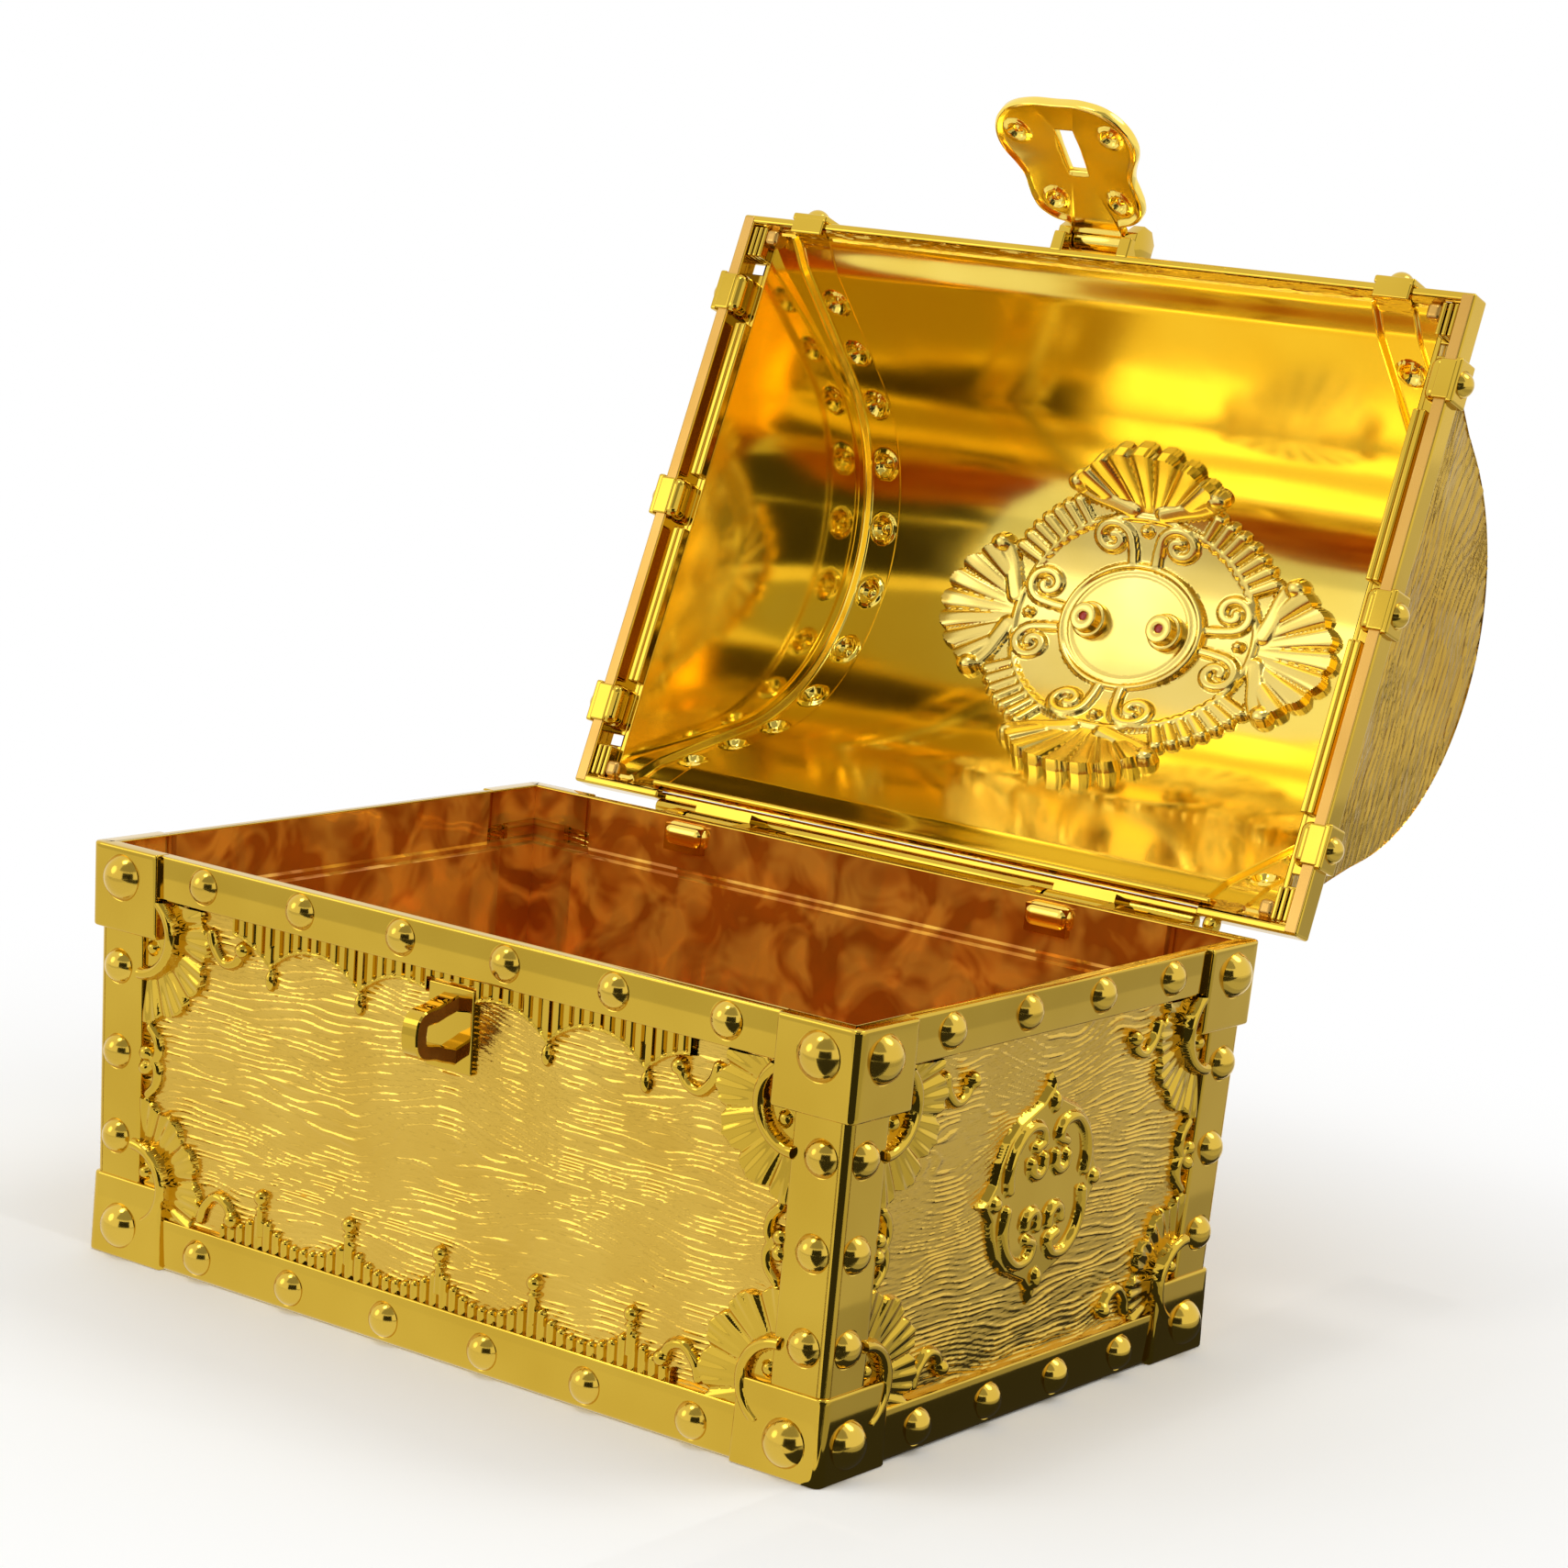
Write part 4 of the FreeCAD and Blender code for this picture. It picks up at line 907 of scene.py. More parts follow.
@dataclass
class TubStuds:
    """Round-headed studs on bands, posts and caps."""

    carcase: Carcase
    head: tuple = (2.8, 1.9)
    corner_head: tuple = (3.65, 2.4)
    band_z: float = 63.1
    foot_z: float = 3.8
    band_half: tuple = (51.25, 29.65)
    foot_half: tuple = (49.5, 27.15)
    counts: tuple = (6, 4)
    hinge_room: float = 12.2
    post_z: tuple = (19.5, 33.3, 47.1)
    post_setback: float = 4.4
    cap_places: tuple = ((61.6, 6.7, 0.0), (5.1, 6.9, 0.33))

    def row(self, side: Side, places: Array, z: float, inset: float, head: tuple) -> Surface:
        """Studs in a row on one side, square to its drafted wall."""
        c = self.carcase
        points = c.on_side(side, places, np.full(len(places), z), np.full(len(places), -inset))
        normal = side.out - np.array([0, 0, c.slope])
        return planted(dome(*head), points, np.tile(normal, (len(places), 1)))

    def build(self) -> None:
        """Makes the groups of studs, without those of the back's top band that the hinges would cover."""
        c = self.carcase
        band, post, corner = [], [], []
        for side in Side:
            k = 0 if side.wide else 1
            top = np.linspace(-self.band_half[k], self.band_half[k], self.counts[k])
            foot = np.linspace(-self.foot_half[k], self.foot_half[k], self.counts[k])
            if side is Side.BACK:
                top = top[np.abs(np.abs(top) - c.hinge_x) > self.hinge_room]
            band.append(self.row(side, top, self.band_z, c.trim_inset, self.head))
            band.append(self.row(side, foot, self.foot_z, c.trim_inset, self.head))
            for z in self.post_z:
                reach = c.half_along(side, z) - c.trim_inset - self.post_setback
                post.append(self.row(side, np.array([-reach, reach]), z, c.trim_inset, self.head))
            for z, setback, inset in self.cap_places:
                reach = c.half_along(side, z) - setback
                corner.append(self.row(side, np.array([-reach, reach]), z, inset, self.corner_head))
        for node, studs in (("band_studs", band), ("post_studs", post), ("corner_studs", corner)):
            add_piece(node + "_gilt", [(joined(studs), STUD_GILT)], Body.BASE, node)


@dataclass
class CornerFans:
    """Shell fans in the panels' corners: a bead in a collar, five petals and two ball-ended scrolls."""

    carcase: Carcase
    step: float = 0.26
    size: float = 23.4
    lift: float = 0.4
    collar_radius: float = 6.5
    collar_half: float = 1.0
    collar_span: tuple = (-62.0, 100.0)
    petal_reach: float = 14.4
    petal_span: tuple = (-44.0, 98.0)
    petals: int = 5
    bead: tuple = (2.2, 1.8, 1.1)
    band_scroll: tuple = ((14.6, -3.0), (15.4, -0.8), (17.6, 1.2), (20.0, 0.6), (21.4, -1.6))
    post_scroll: tuple = ((2.2, 14.6), (3.6, 16.2), (4.0, 18.4), (3.0, 20.4), (1.6, 21.2))
    scroll_half: float = 0.95
    ball: float = 1.45
    post_height: float = 0.9

    def heights(self, a: Array, b: Array) -> Array:
        """Relief over the panel: rings and petals by radius and angle, tubes along the scrolls.

        Args:
            a: Millimetres from the post's edge into the panel.
            b: Millimetres from the cap's edge into the panel.

        Returns:
            Heights over the panel, at the sunk level outside the fan.
        """
        rho, theta = np.hypot(a, b + self.lift), np.degrees(np.arctan2(b + self.lift, a))
        first, last = self.petal_span
        share = (theta - first) / (last - first) * self.petals
        across = 2 * (share - np.floor(share)) - 1
        reach = self.petal_reach - 1.3 * across ** 2
        rise = smooth(self.collar_radius, self.petal_reach, rho)
        petal = 0.5 + 0.5 * rise - 0.4 * across ** 4 + 0.34 * rise * np.cos(1.5 * math.pi * across) ** 2
        petal = np.where((theta > first) & (theta < last) & (rho > 5), petal, -1)
        petal = np.where(rho < reach, petal, petal - 6 * (rho - reach))
        height = np.maximum(petal, np.where(rho < self.collar_radius - 0.5, 0.5, -1))
        low, high = self.collar_span
        collar = np.where((theta > low) & (theta < high), np.abs(rho - self.collar_radius), np.inf)
        height = with_ridge(height, collar, self.collar_half, 1.15, 1.15)
        height = with_ridge(height, np.hypot(a - self.bead[0], b - self.bead[1]), self.bead[2], 0.9, 0.6)
        for scroll in (self.band_scroll, self.post_scroll):
            path = curve_through(scroll)
            height = with_ridge(height, path_distance(a, b, path), self.scroll_half, 1.25)
            height = with_ridge(height, np.hypot(a - path[-1, 0], b - path[-1, 1]), self.ball, 1.9)
        return np.maximum(np.where(a < 0.0, np.minimum(height, self.post_height), height), -SINK_MM)

    def fan(self, side: Side, end: int, upper: bool) -> Surface:
        """One fan, laid into a corner of one panel."""
        c = self.carcase
        a, b = np.meshgrid(np.arange(-1.0, self.size, self.step), np.arange(-6.0, self.size, self.step))
        z = c.upper_cap_low - b if upper else c.lower_cap_high + b
        return c.relief(side, end * (c.panel_half(side) - a), z, self.heights(a, b))

    def build(self) -> None:
        """Makes the fans of the wide panels and of the side panels."""
        for name, sides in (("front_and_back_fans", (Side.FRONT, Side.BACK)),
                            ("side_fans", (Side.RIGHT, Side.LEFT))):
            fans = [self.fan(side, end, upper) for side in sides for end in SIGNS for upper in (True, False)]
            add_piece(name, [(joined(fans), BRIGHT_GILT)], Body.BASE, "corner_fans", 55.0)


@dataclass
class Fringes:
    """Comb fringes of the front panel: flat bars under the top band, round rods over the foot band."""

    carcase: Carcase
    half: float = 45.0
    scallop: float = 18.5
    peaks: tuple = (-37.0, -18.5, 0.0, 18.5, 37.0)
    pitch: float = 1.92
    step: float = 0.2
    arch: float = 2.4
    cusp: float = 6.3
    lip_half: float = 0.35
    plate_half: float = 4.8
    rod_half: float = 0.86

    def edge(self, x: Array) -> Array:
        """Scalloped edge: shallow between the peaks and deep at them, along |2t - 1|^2.2."""
        share = x / self.scallop - np.floor(x / self.scallop)
        return self.arch + (self.cusp - self.arch) * np.abs(2 * share - 1) ** 2.2

    def comb(self) -> Surface:
        """Top fringe: bars with sunk slots, a lip along the scallops, and drops on stems at the cusps."""
        x, d = np.meshgrid(spaced(self.half, self.step), np.arange(-0.4, 10.6, self.step))
        edge = self.edge(x)
        cell = x / self.pitch - np.floor(x / self.pitch)
        slot = smooth(0.29, 0.38, np.abs(cell - 0.5)) * smooth(0.25, 0.45, edge - d)
        height = np.where(d < edge, 0.95 - 0.62 * slot, -SINK_MM)
        height = with_ridge(height, np.abs(d - edge), self.lip_half, 0.55, 0.5)
        for peak in self.peaks:
            stem = np.where((d > 3) & (d < 7.6), np.abs(x - peak), np.inf)
            height = with_ridge(height, stem, 0.5, 0.9)
            height = with_ridge(height, np.hypot((x - peak) / 0.95, (d - 8.3) / 1.8), 1.0, 1.35)
        height = np.where((np.abs(x) < self.plate_half) & (d > 1.2), -SINK_MM, height)
        return self.carcase.relief(Side.FRONT, x, self.carcase.band_low - d, height)

    def rods(self) -> Surface:
        """Foot fringe: round-topped rods in sagging rows, with a neck, a ring and a ball at each peak."""
        x, d = np.meshgrid(spaced(self.half, self.step), np.arange(-0.4, 10.0, self.step))
        middle = (np.floor(x / self.pitch) + 0.5) * self.pitch
        top = self.edge(middle) - 0.3
        away = np.hypot(x - middle, np.maximum(d - (top - 0.8), 0.0))
        height = with_ridge(np.where(d < top - 1.2, 0.12, -SINK_MM), away, self.rod_half, 1.0)
        for peak in self.peaks:
            neck = np.where((d > 2) & (d < 7.2), np.abs(x - peak), np.inf)
            height = with_ridge(height, neck, 0.75, 1.1)
            height = with_ridge(height, np.hypot(x - peak, d - 8.1), 1.35, 1.6)
            height = with_ridge(height, np.hypot((x - peak) / 1.25, (d - 6.3) / 0.45), 1.0, 1.3)
        return self.carcase.relief(Side.FRONT, x, self.carcase.foot_band + d, height)

    def build(self) -> None:
        """Makes both fringes."""
        add_piece("top_fringe_comb", [(self.comb(), BRIGHT_GILT)], Body.BASE, "front_top_fringe", 50.0)
        add_piece("bottom_fringe_rods", [(self.rods(), BRIGHT_GILT)], Body.BASE, "front_bottom_fringe", 50.0)


@dataclass
class Plaques:
    """Four-pointed plaques on the side panels, with scrolls of round bead and a bead at each point."""

    carcase: Carcase
    middle: float = 34.6
    proud: float = 1.2
    step: float = 0.2
    half: tuple = (17.8, 18.4)
    outline: tuple = ((17.5, 0.0), (15.2, 1.0), (13.6, 3.0), (12.8, 6.0), (11.2, 9.2), (8.4, 11.7),
                      (5.2, 13.0), (2.8, 14.0), (1.0, 15.8), (0.0, 18.2))
    big_scroll: tuple = ((10.1, 1.6), (10.4, 4.6), (9.1, 8.1), (6.3, 10.4), (3.2, 10.1), (2.2, 8.0),
                         (3.9, 7.1))
    small_scroll: tuple = ((1.6, 5.4), (1.7, 3.8), (2.9, 2.8), (4.3, 3.4), (4.7, 4.9))
    scroll_half: float = 0.95

    def heights(self, u: Array, v: Array) -> Array:
        """Relief over the panel: a bevelled plate inside the outline, and beads along the scrolls' paths.

        Args:
            u: Millimetres along the side from the plaque's middle.
            v: Millimetres upwards from the plaque's middle.

        Returns:
            Heights over the panel, at the sunk level outside the outline.
        """
        p, q = np.abs(u), np.abs(v)
        edge = np.asarray(self.outline)
        angle, reach = np.arctan2(edge[:, 1], edge[:, 0]), np.hypot(edge[:, 0], edge[:, 1])
        inside = np.hypot(p, q) < np.interp(np.arctan2(q, p), angle, reach)
        height = self.proud * smooth(-0.2, 0.75, path_distance(p, q, edge))
        tube = np.minimum(path_distance(p, q, curve_through(self.big_scroll)),
                          path_distance(p, q, curve_through(self.small_scroll)))
        drop = np.hypot(p, (q - 13.6) / 1.7)
        bead = np.hypot(p - 13.2, q) / 1.25
        height = height + 1.05 * ridge(tube, self.scroll_half) + 1.1 * (ridge(drop, 1.0) + ridge(bead, 1.0))
        return np.where(inside, height, -SINK_MM)

    def build(self) -> None:
        """Makes both plaques."""
        u, v = np.meshgrid(*(np.arange(-half, half, self.step) for half in self.half))
        for side, name in ((Side.LEFT, "plaque_left"), (Side.RIGHT, "plaque_right")):
            plaque = self.carcase.relief(side, u, self.middle + v, self.heights(u, v))
            add_piece(name + "_gilt", [(plaque, BRIGHT_GILT)], Body.BASE, "side_" + name, 60.0)


@dataclass
class Staple:
    """Loop on the front panel: a bent strip with flared feet on a thin plate."""

    carcase: Carcase
    middle: float = 51.3
    width: float = 3.2
    wire: float = 2.4
    bevel: float = 0.25
    wall_y: float = -51.0
    outline: tuple = ((0.6, 6.0), (-0.3, 5.6), (-2.0, 5.0), (-4.0, 4.5), (-5.4, 4.05), (-7.0, 3.85),
                      (-8.6, 3.4), (-9.7, 2.1), (-10.0, 0.0))
    plate_half: tuple = (4.5, 6.5)
    plate_y: tuple = (-52.0, -50.2)
    plate_lift: float = 0.4

    def strip(self) -> Surface:
        """The strip: a path of its outer side, offset inwards by its thickness, with a bevelled section."""
        half = curve_through(self.outline, 5)
        path = np.vstack([half, (half * [1, -1])[::-1][1:]])
        run = np.gradient(path, axis=0)
        run /= np.linalg.norm(run, axis=1, keepdims=True)
        inward = np.stack([run[:, 1], -run[:, 0]], axis=1)
        inward *= np.sign((inward * ([-5.0, 0.0] - path)).sum(axis=1, keepdims=True)[len(path) // 2])
        x, e, wire = self.width / 2, self.bevel, self.wire
        section = [(-x, e), (-x + e, 0.0), (x - e, 0.0), (x, e), (x, wire - e), (x - e, wire), (-x + e, wire),
                   (-x, wire - e)]
        rows = []
        for across, deep in section:
            place = path + inward * deep
            rows.append(np.column_stack([np.full(len(place), across), self.wall_y + place[:, 0],
                                         self.middle + place[:, 1]]))
        return outward(sheet(np.stack(rows, axis=1), ring=True))

    def build(self) -> None:
        """Makes the strip, bare where its sides were cut, and the plate that leans with the drafted wall."""
        c, strip = self.carcase, self.strip()
        (x, z), (low, high) = self.plate_half, self.plate_y
        plate = rounded_box((-x, low, self.middle - z), (x, high, self.middle + z), 0.3)
        plate = plate.shaped(lambda p: p + np.array([0, 1.0, 0])
                             * ((c.height - p[:, 2:3]) * c.slope - self.plate_lift))
        normal = strip.normals()
        sideways = np.abs(normal[:, 0]) > 0.9 * np.linalg.norm(normal, axis=1)
        cut, skin = (Surface(strip.points, strip.quads[pick]) for pick in (sideways, ~sideways))
        parts = [(joined([skin, plate]), BRIGHT_GILT), (cut, AMBER_PLASTIC)]
        add_piece("staple_strip", parts, Body.BASE, "staple")


# The lid

@dataclass(frozen=True)
class LidPose:
    """Where the lid and hasp stand in the photograph, as turns about their pins from shut."""

    hinge: tuple = (59.0, 63.0)
    open_degrees: float = 110.0
    pivot: tuple = (-57.7, 71.6)
    lean_degrees: float = 29.0

    @staticmethod
    def turned(points: Array, centre: tuple, degrees: float) -> Array:
        """Points turned about a line along X through (y, z)."""
        c, s = math.cos(math.radians(degrees)), math.sin(math.radians(degrees))
        y, z = points[:, 1] - centre[0], points[:, 2] - centre[1]
        return np.column_stack([points[:, 0], centre[0] + c * y - s * z, centre[1] + s * y + c * z])

    def lid(self, points: Array) -> Array:
        """Points of the shut lid where it stands open."""
        return self.turned(points, self.hinge, -self.open_degrees)

    def hasp(self, points: Array) -> Array:
        """Points of the hasp, hanging on the shut lid, where it leans on the open lid."""
        return self.lid(self.turned(points, self.pivot, -self.lean_degrees))


@dataclass(frozen=True)
class Barrel:
    """Section of the lid's barrel: a crown arc that runs into a flatter arc on each flank."""

    rim_z: float = 67.3
    half_span: float = 53.0
    crown_radius: float = 41.34
    crown_height: float = 51.2
    crown_turn: float = math.pi / 3
    wall: float = 1.8

    def flank(self) -> tuple[float, float, float]:
        """Radius of a flank arc and its centre (y, w): it runs on from the crown arc to the span."""
        s, c = math.sin(self.crown_turn), math.cos(self.crown_turn)
        y, w = self.crown_radius * s, self.crown_height - self.crown_radius * (1 - c)
        run = self.half_span - y
        radius = (run ** 2 + w ** 2) / (2 * (c * w - s * run))
        return radius, y - radius * s, w - radius * c

    def foot(self, depth: float) -> float:
        """Arc length from the crown to the rim plane, at a depth inside the outer skin."""
        radius, _, w = self.flank()
        turn = math.acos(-w / (radius - depth))
        return (self.crown_radius - depth) * self.crown_turn + (radius - depth) * (turn - self.crown_turn)

    def section(self, s: Array, depth: Array, reference: float) -> tuple[Array, Array]:
        """Points (y, w) at an arc length from the crown, held at a reference depth, and their own depth.

        Args:
            s: Arc lengths, towards the back positive.
            depth: Depths inside the outer skin.
            reference: Depth at which the arc lengths hold.

        Returns:
            Distances back from the middle and heights over the rim plane.
        """
        flank, flank_y, flank_w = self.flank()
        crown = (self.crown_radius - reference) * self.crown_turn
        beyond = np.maximum(np.abs(s) - crown, 0.0)
        turn = np.sign(s) * (np.minimum(np.abs(s), crown) / (self.crown_radius - reference)
                             + beyond / (flank - reference))
        on_crown = np.abs(turn) <= self.crown_turn
        radius = np.where(on_crown, self.crown_radius, flank) - depth
        y = np.where(on_crown, 0.0, np.sign(turn) * flank_y) + radius * np.sin(turn)
        w = np.where(on_crown, self.crown_height - self.crown_radius, flank_w) + radius * np.cos(turn)
        return y, w

    def place(self, x: Array, s: Array, depth: Array, reference: float) -> Array:
        """Points of the shut lid from distance along X, arc length and depth."""
        x, s, depth = np.broadcast_arrays(*(np.asarray(given, float) for given in (x, s, depth)))
        y, w = self.section(s, depth, reference)
        return np.stack([x, y, self.rim_z + w], axis=-1)


@dataclass
class CrestRelief:
    """Crest at the crown: a disc, a ring of eight volutes, four shells and four groups of ribs.

    It is drawn in a plan squeezed into a circle, by radius and by the angle off the nearest shell's axis.
    """

    squeeze: float = 1.2
    disc: float = 14.4
    disc_height: float = 2.5
    roll_half: float = 0.8
    ring: float = 25.2
    ring_height: float = 1.15
    shell_root: float = 4.0
    shell_reach: float = 41.6
    shell_half_turn: float = 55.0
    lobes: int = 7
    curl: tuple = (10.2, 14.6, 2.3)
    side_lobe: tuple = ((5.2, 3.4), (6.4, 6.8), (7.6, 11.0), (8.8, 13.6))
    side_half: float = 2.0
    rib_pitch: float = 5.4
    rib_span: float = 18.9
    rib_reach: float = 32.4
    web_reach: float = 29.5
    volute_stem: tuple = ((15.0, 2.4), (17.4, 2.6))
    volute_middle: tuple = (19.8, 7.1)
    volute_half: float = 1.25
    bead_place: float = 22.4
    bead: float = 1.35
    skin_radius: float = 39.5

    def volute(self) -> Array:
        """Path of one volute: up beside the axis from the disc, over and inwards on a spiral."""
        t = np.linspace(0, 1, 26)[:, None]
        sweep = math.radians(170) - t * math.radians(440)
        radius = 3.2 * (1 - t) ** 0.85 + 0.8
        spiral = np.array(self.volute_middle) + radius * np.hstack([np.sin(sweep), np.cos(sweep)])
        return np.vstack([self.volute_stem, spiral])

    def shells(self, rho: Array, off: Array) -> Array:
        """Shells: lobes that radiate from a point just inside the ring, side lobes and curls with a ball."""
        origin = self.ring - self.shell_root
        p, q = rho * np.cos(np.radians(off)) - origin, rho * np.sin(np.radians(off))
        reach, bearing = np.hypot(p, q), np.degrees(np.arctan2(q, p))
        half = self.shell_half_turn
        share = (bearing + half) / (2 * half) * self.lobes
        across = 2 * (share - np.floor(share)) - 1
        limit = (self.shell_reach - origin) * (1 - 0.10 * (bearing / half) ** 2) - 1.1 * across ** 2
        grow = smooth(3.0, 19.0, reach)
        lobe = 0.9 + 0.8 * grow * flat_ridge(across, 1.0) + 0.5 * grow
        shell = np.where((np.abs(bearing) < half) & (reach < limit) & (rho > self.ring + 0.4), lobe, -1)
        curl = np.hypot(p - self.curl[0], np.abs(q) - self.curl[1])
        shell = with_ridge(shell, curl, self.curl[2], 1.5, 0.9)
        side = path_distance(p, np.abs(q), curve_through(self.side_lobe))
        lobe = 0.9 + 0.7 * flat_ridge(side, self.side_half)
        return np.where(side < self.side_half, np.maximum(shell, lobe), shell)

    def ribs(self, rho: Array, off: Array) -> Array:
        """Groups of round-ended ribs on the diagonals, over a low web."""
        slant = np.abs(np.abs(off) - 45.0)
        rib = np.mod(slant + self.rib_pitch / 2, self.rib_pitch) - self.rib_pitch / 2
        reach = self.rib_reach - 0.14 * rib ** 2
        ribs = 0.6 + 0.85 * flat_ridge(rib, 2.9) * smooth(0, 1.6, reach - rho + 0.4)
        ribs = np.where((slant < self.rib_span) & (rho > self.ring - 1) & (rho < reach), ribs, -1)
        return np.maximum(ribs, np.where(rho < self.web_reach, 0.5, -1))

    def heights(self, x: Array, s: Array) -> Array:
        """Relief over the barrel's skin.

        Args:
            x: Millimetres along the lid.
            s: Arc length from the crown.

        Returns:
            Heights, at the sunk level outside the crest.
        """
        y = s * self.squeeze
        rho, theta = np.hypot(x, y), np.degrees(np.arctan2(y, x))
        off = theta - np.round(theta / 90.0) * 90.0
        height = np.maximum(self.shells(rho, off), self.ribs(rho, off))
        height = np.maximum(height, np.where(rho < self.ring, self.ring_height, -1))
        height = with_ridge(height, np.abs(rho - self.ring), self.roll_half, 0.6, 0.9)
        near = (rho > self.disc - 1) & (rho < self.ring + 0.5)
        u, v = rho * np.cos(np.radians(np.abs(off))), rho * np.sin(np.radians(np.abs(off)))
        tube = np.full(rho.shape, np.inf)
        tube[near] = path_distance(u[near], v[near], self.volute())
        raised = self.ring_height + 0.8 * flat_ridge(tube, self.volute_half)
        height = np.where(tube < self.volute_half, np.maximum(height, raised), height)
        height = with_ridge(height, np.hypot(u - self.bead_place, v), self.bead, 1.4, self.ring_height)
        # The disc is flatter than the barrel, with a rolled edge and a fine inner ring
        drop = self.skin_radius * (1 - np.cos(np.minimum(np.abs(s), 24.0) / self.skin_radius))
        face = self.disc_height - 0.7 * drop + 0.14 * ridge(rho - 0.86 * self.disc, 0.5)
        height = np.where(rho < self.disc - 0.5, face, height)
        height = with_ridge(height, np.abs(rho - self.disc), self.roll_half, 0.75, 1.9 - 0.4 * drop)
        return np.maximum(height, -SINK_MM)


def both_sides(low: Sequence[float], high: Sequence[float], radius: float) -> list[Surface]:
    """A rounded box given on the right, and its twin on the left."""
    twin_low, twin_high = (-high[0],) + tuple(low[1:]), (-low[0],) + tuple(high[1:])
    return [rounded_box(low, high, radius), rounded_box(twin_low, twin_high, radius)]


@dataclass
class Lid:
    """Barrel, ends, rim, straps, clips, crest, posts, jewel and hasp lugs."""

    barrel: Barrel
    pose: LidPose
    crest: CrestRelief = field(default_factory=CrestRelief)
    half_width: float = 75.0
    half_depth: float = 54.5
    rim_height: float = 4.5
    end_inner: float = 64.85
    end_outer: float = 66.65
    end_wall: float = 1.2
    end_flare: float = 3.65
    flare_top: float = 50.0
    end_grain: float = 0.6
    strap_low: float = 56.2
    strap_high: float = 63.3
    strap_proud: float = 1.0
    dimple_pitch: float = 12.1
    stud_pitch: float = 12.48
    stud_head: tuple = (2.8, 1.9)
    clip_half: float = 3.8
    clip_proud: float = 1.2
    clip_y: tuple = (-39.5, 0.0, 39.5)
    front_clip_x: tuple = (-60.0, 60.0)
    clip_head: tuple = (2.2, 1.6)
    rim_wall: float = 1.5
    rim_edge: float = 0.45
    side_wall: float = 2.5
    ledge: float = 3.3
    channel: float = 69.3
    back_half: float = 56.0
    roll_radius: float = 1.45
    rib_x: tuple = (69.25, 70.5)
    rib_half: float = 0.62
    post_x: float = 8.05
    post_seat: float = 47.0
    post_profile: tuple = ((3.5, -1.2), (3.5, 1.25), (3.4, 1.45), (3.2, 1.55), (2.8, 1.6), (2.72, 1.7),
                           (2.7, 3.35), (2.6, 3.52), (2.4, 3.6), (1.0, 3.6), (0.85, 3.5), (0.8, 2.6))
    peg_profile: tuple = ((0.85, 2.5), (0.85, 3.25), (0.5, 3.4), (0.0, 3.42))
    jewel_seat: float = 53.9
    jewel_half: tuple = (13.0, 8.5)
    jewel_rows: tuple = ((0.0, 0.0), (0.96, 0.0), (1.0, 0.35), (1.0, 0.9), (0.84, 2.6), (0.60, 4.1),
                         (0.44, 4.6), (0.0, 4.6))
    lug_radius: float = 3.4
    lug_span: tuple = (5.5, 8.06)

    def _add(self, name: str, parts: Dressed, node: str, sharp: float = 40.0) -> None:
        """Opens surfaces that were drawn shut and adds them as one piece of the lid."""
        opened = [(surface.shaped(self.pose.lid), finish) for surface, finish in parts]
        add_piece(name, opened, Body.LID, node, sharp)

    def end_place(self, w: Array) -> Array:
        """Place of an end's inner face: upright at the crown, then out as a power of the drop."""
        share = np.clip((self.flare_top - w) / (self.flare_top - self.ledge), 0, 1)
        return np.where(w > self.ledge - 0.05, self.end_inner + self.end_flare * share ** 2.6,
                        self.half_width - self.rim_wall)

    def inner_vault(self) -> Surface:
        """Inside of the barrel: the arc carried along X, set back behind each strap, dimpled at each stud.

        Towards the mouth the wall thins and the skin runs out to the rim. Its ends follow the flared ends.

        Returns:
            The skin, which looks inwards.
        """
        b, low, high = self.barrel, self.strap_low, self.strap_high
        foot = b.foot(b.wall)
        fine = np.arange(low - 1.2, high + 1.4, 0.27)
        x = np.concatenate([[-self.end_inner], -fine[::-1], np.linspace(-fine[0], fine[0], 40)[1:-1], fine,
                            [self.end_inner]])
        s = np.linspace(0.6 - foot, foot - 0.6, 380)
        gx, gs = np.meshgrid(x, s)
        a = np.abs(gx)
        _, height = b.section(s, np.full_like(s, b.wall), b.wall)
        gx[:, -1], gx[:, 0] = self.end_place(height), -self.end_place(height)
        set_back = 0.85 * smooth(low - 0.25, low + 0.25, a) * (1 - smooth(high - 0.25, high + 0.25, a))
        depth = b.wall - set_back + 0.4 * ridge(a - high - 0.25, 0.55)
        nearest = np.clip(np.round((gs - 1.0) / self.dimple_pitch), -5, 5) * self.dimple_pitch + 1.0
        from_stud = np.hypot(a - (low + high) / 2, gs - nearest)
        dimple = 1.15 * (1 - (np.minimum(from_stud, 2.1) / 2.1) ** 2) - 0.45 * ridge(from_stud - 2.4, 0.45) \
            - 0.9 * ridge(from_stud, 0.85)
        depth = depth - dimple - 1.2 * smooth(foot - 9.0, foot - 1.0, np.abs(gs))
        depth[[0, -1]] = -0.8
        return sheet(b.place(gx, gs, depth, b.wall)).facing(DOWN)

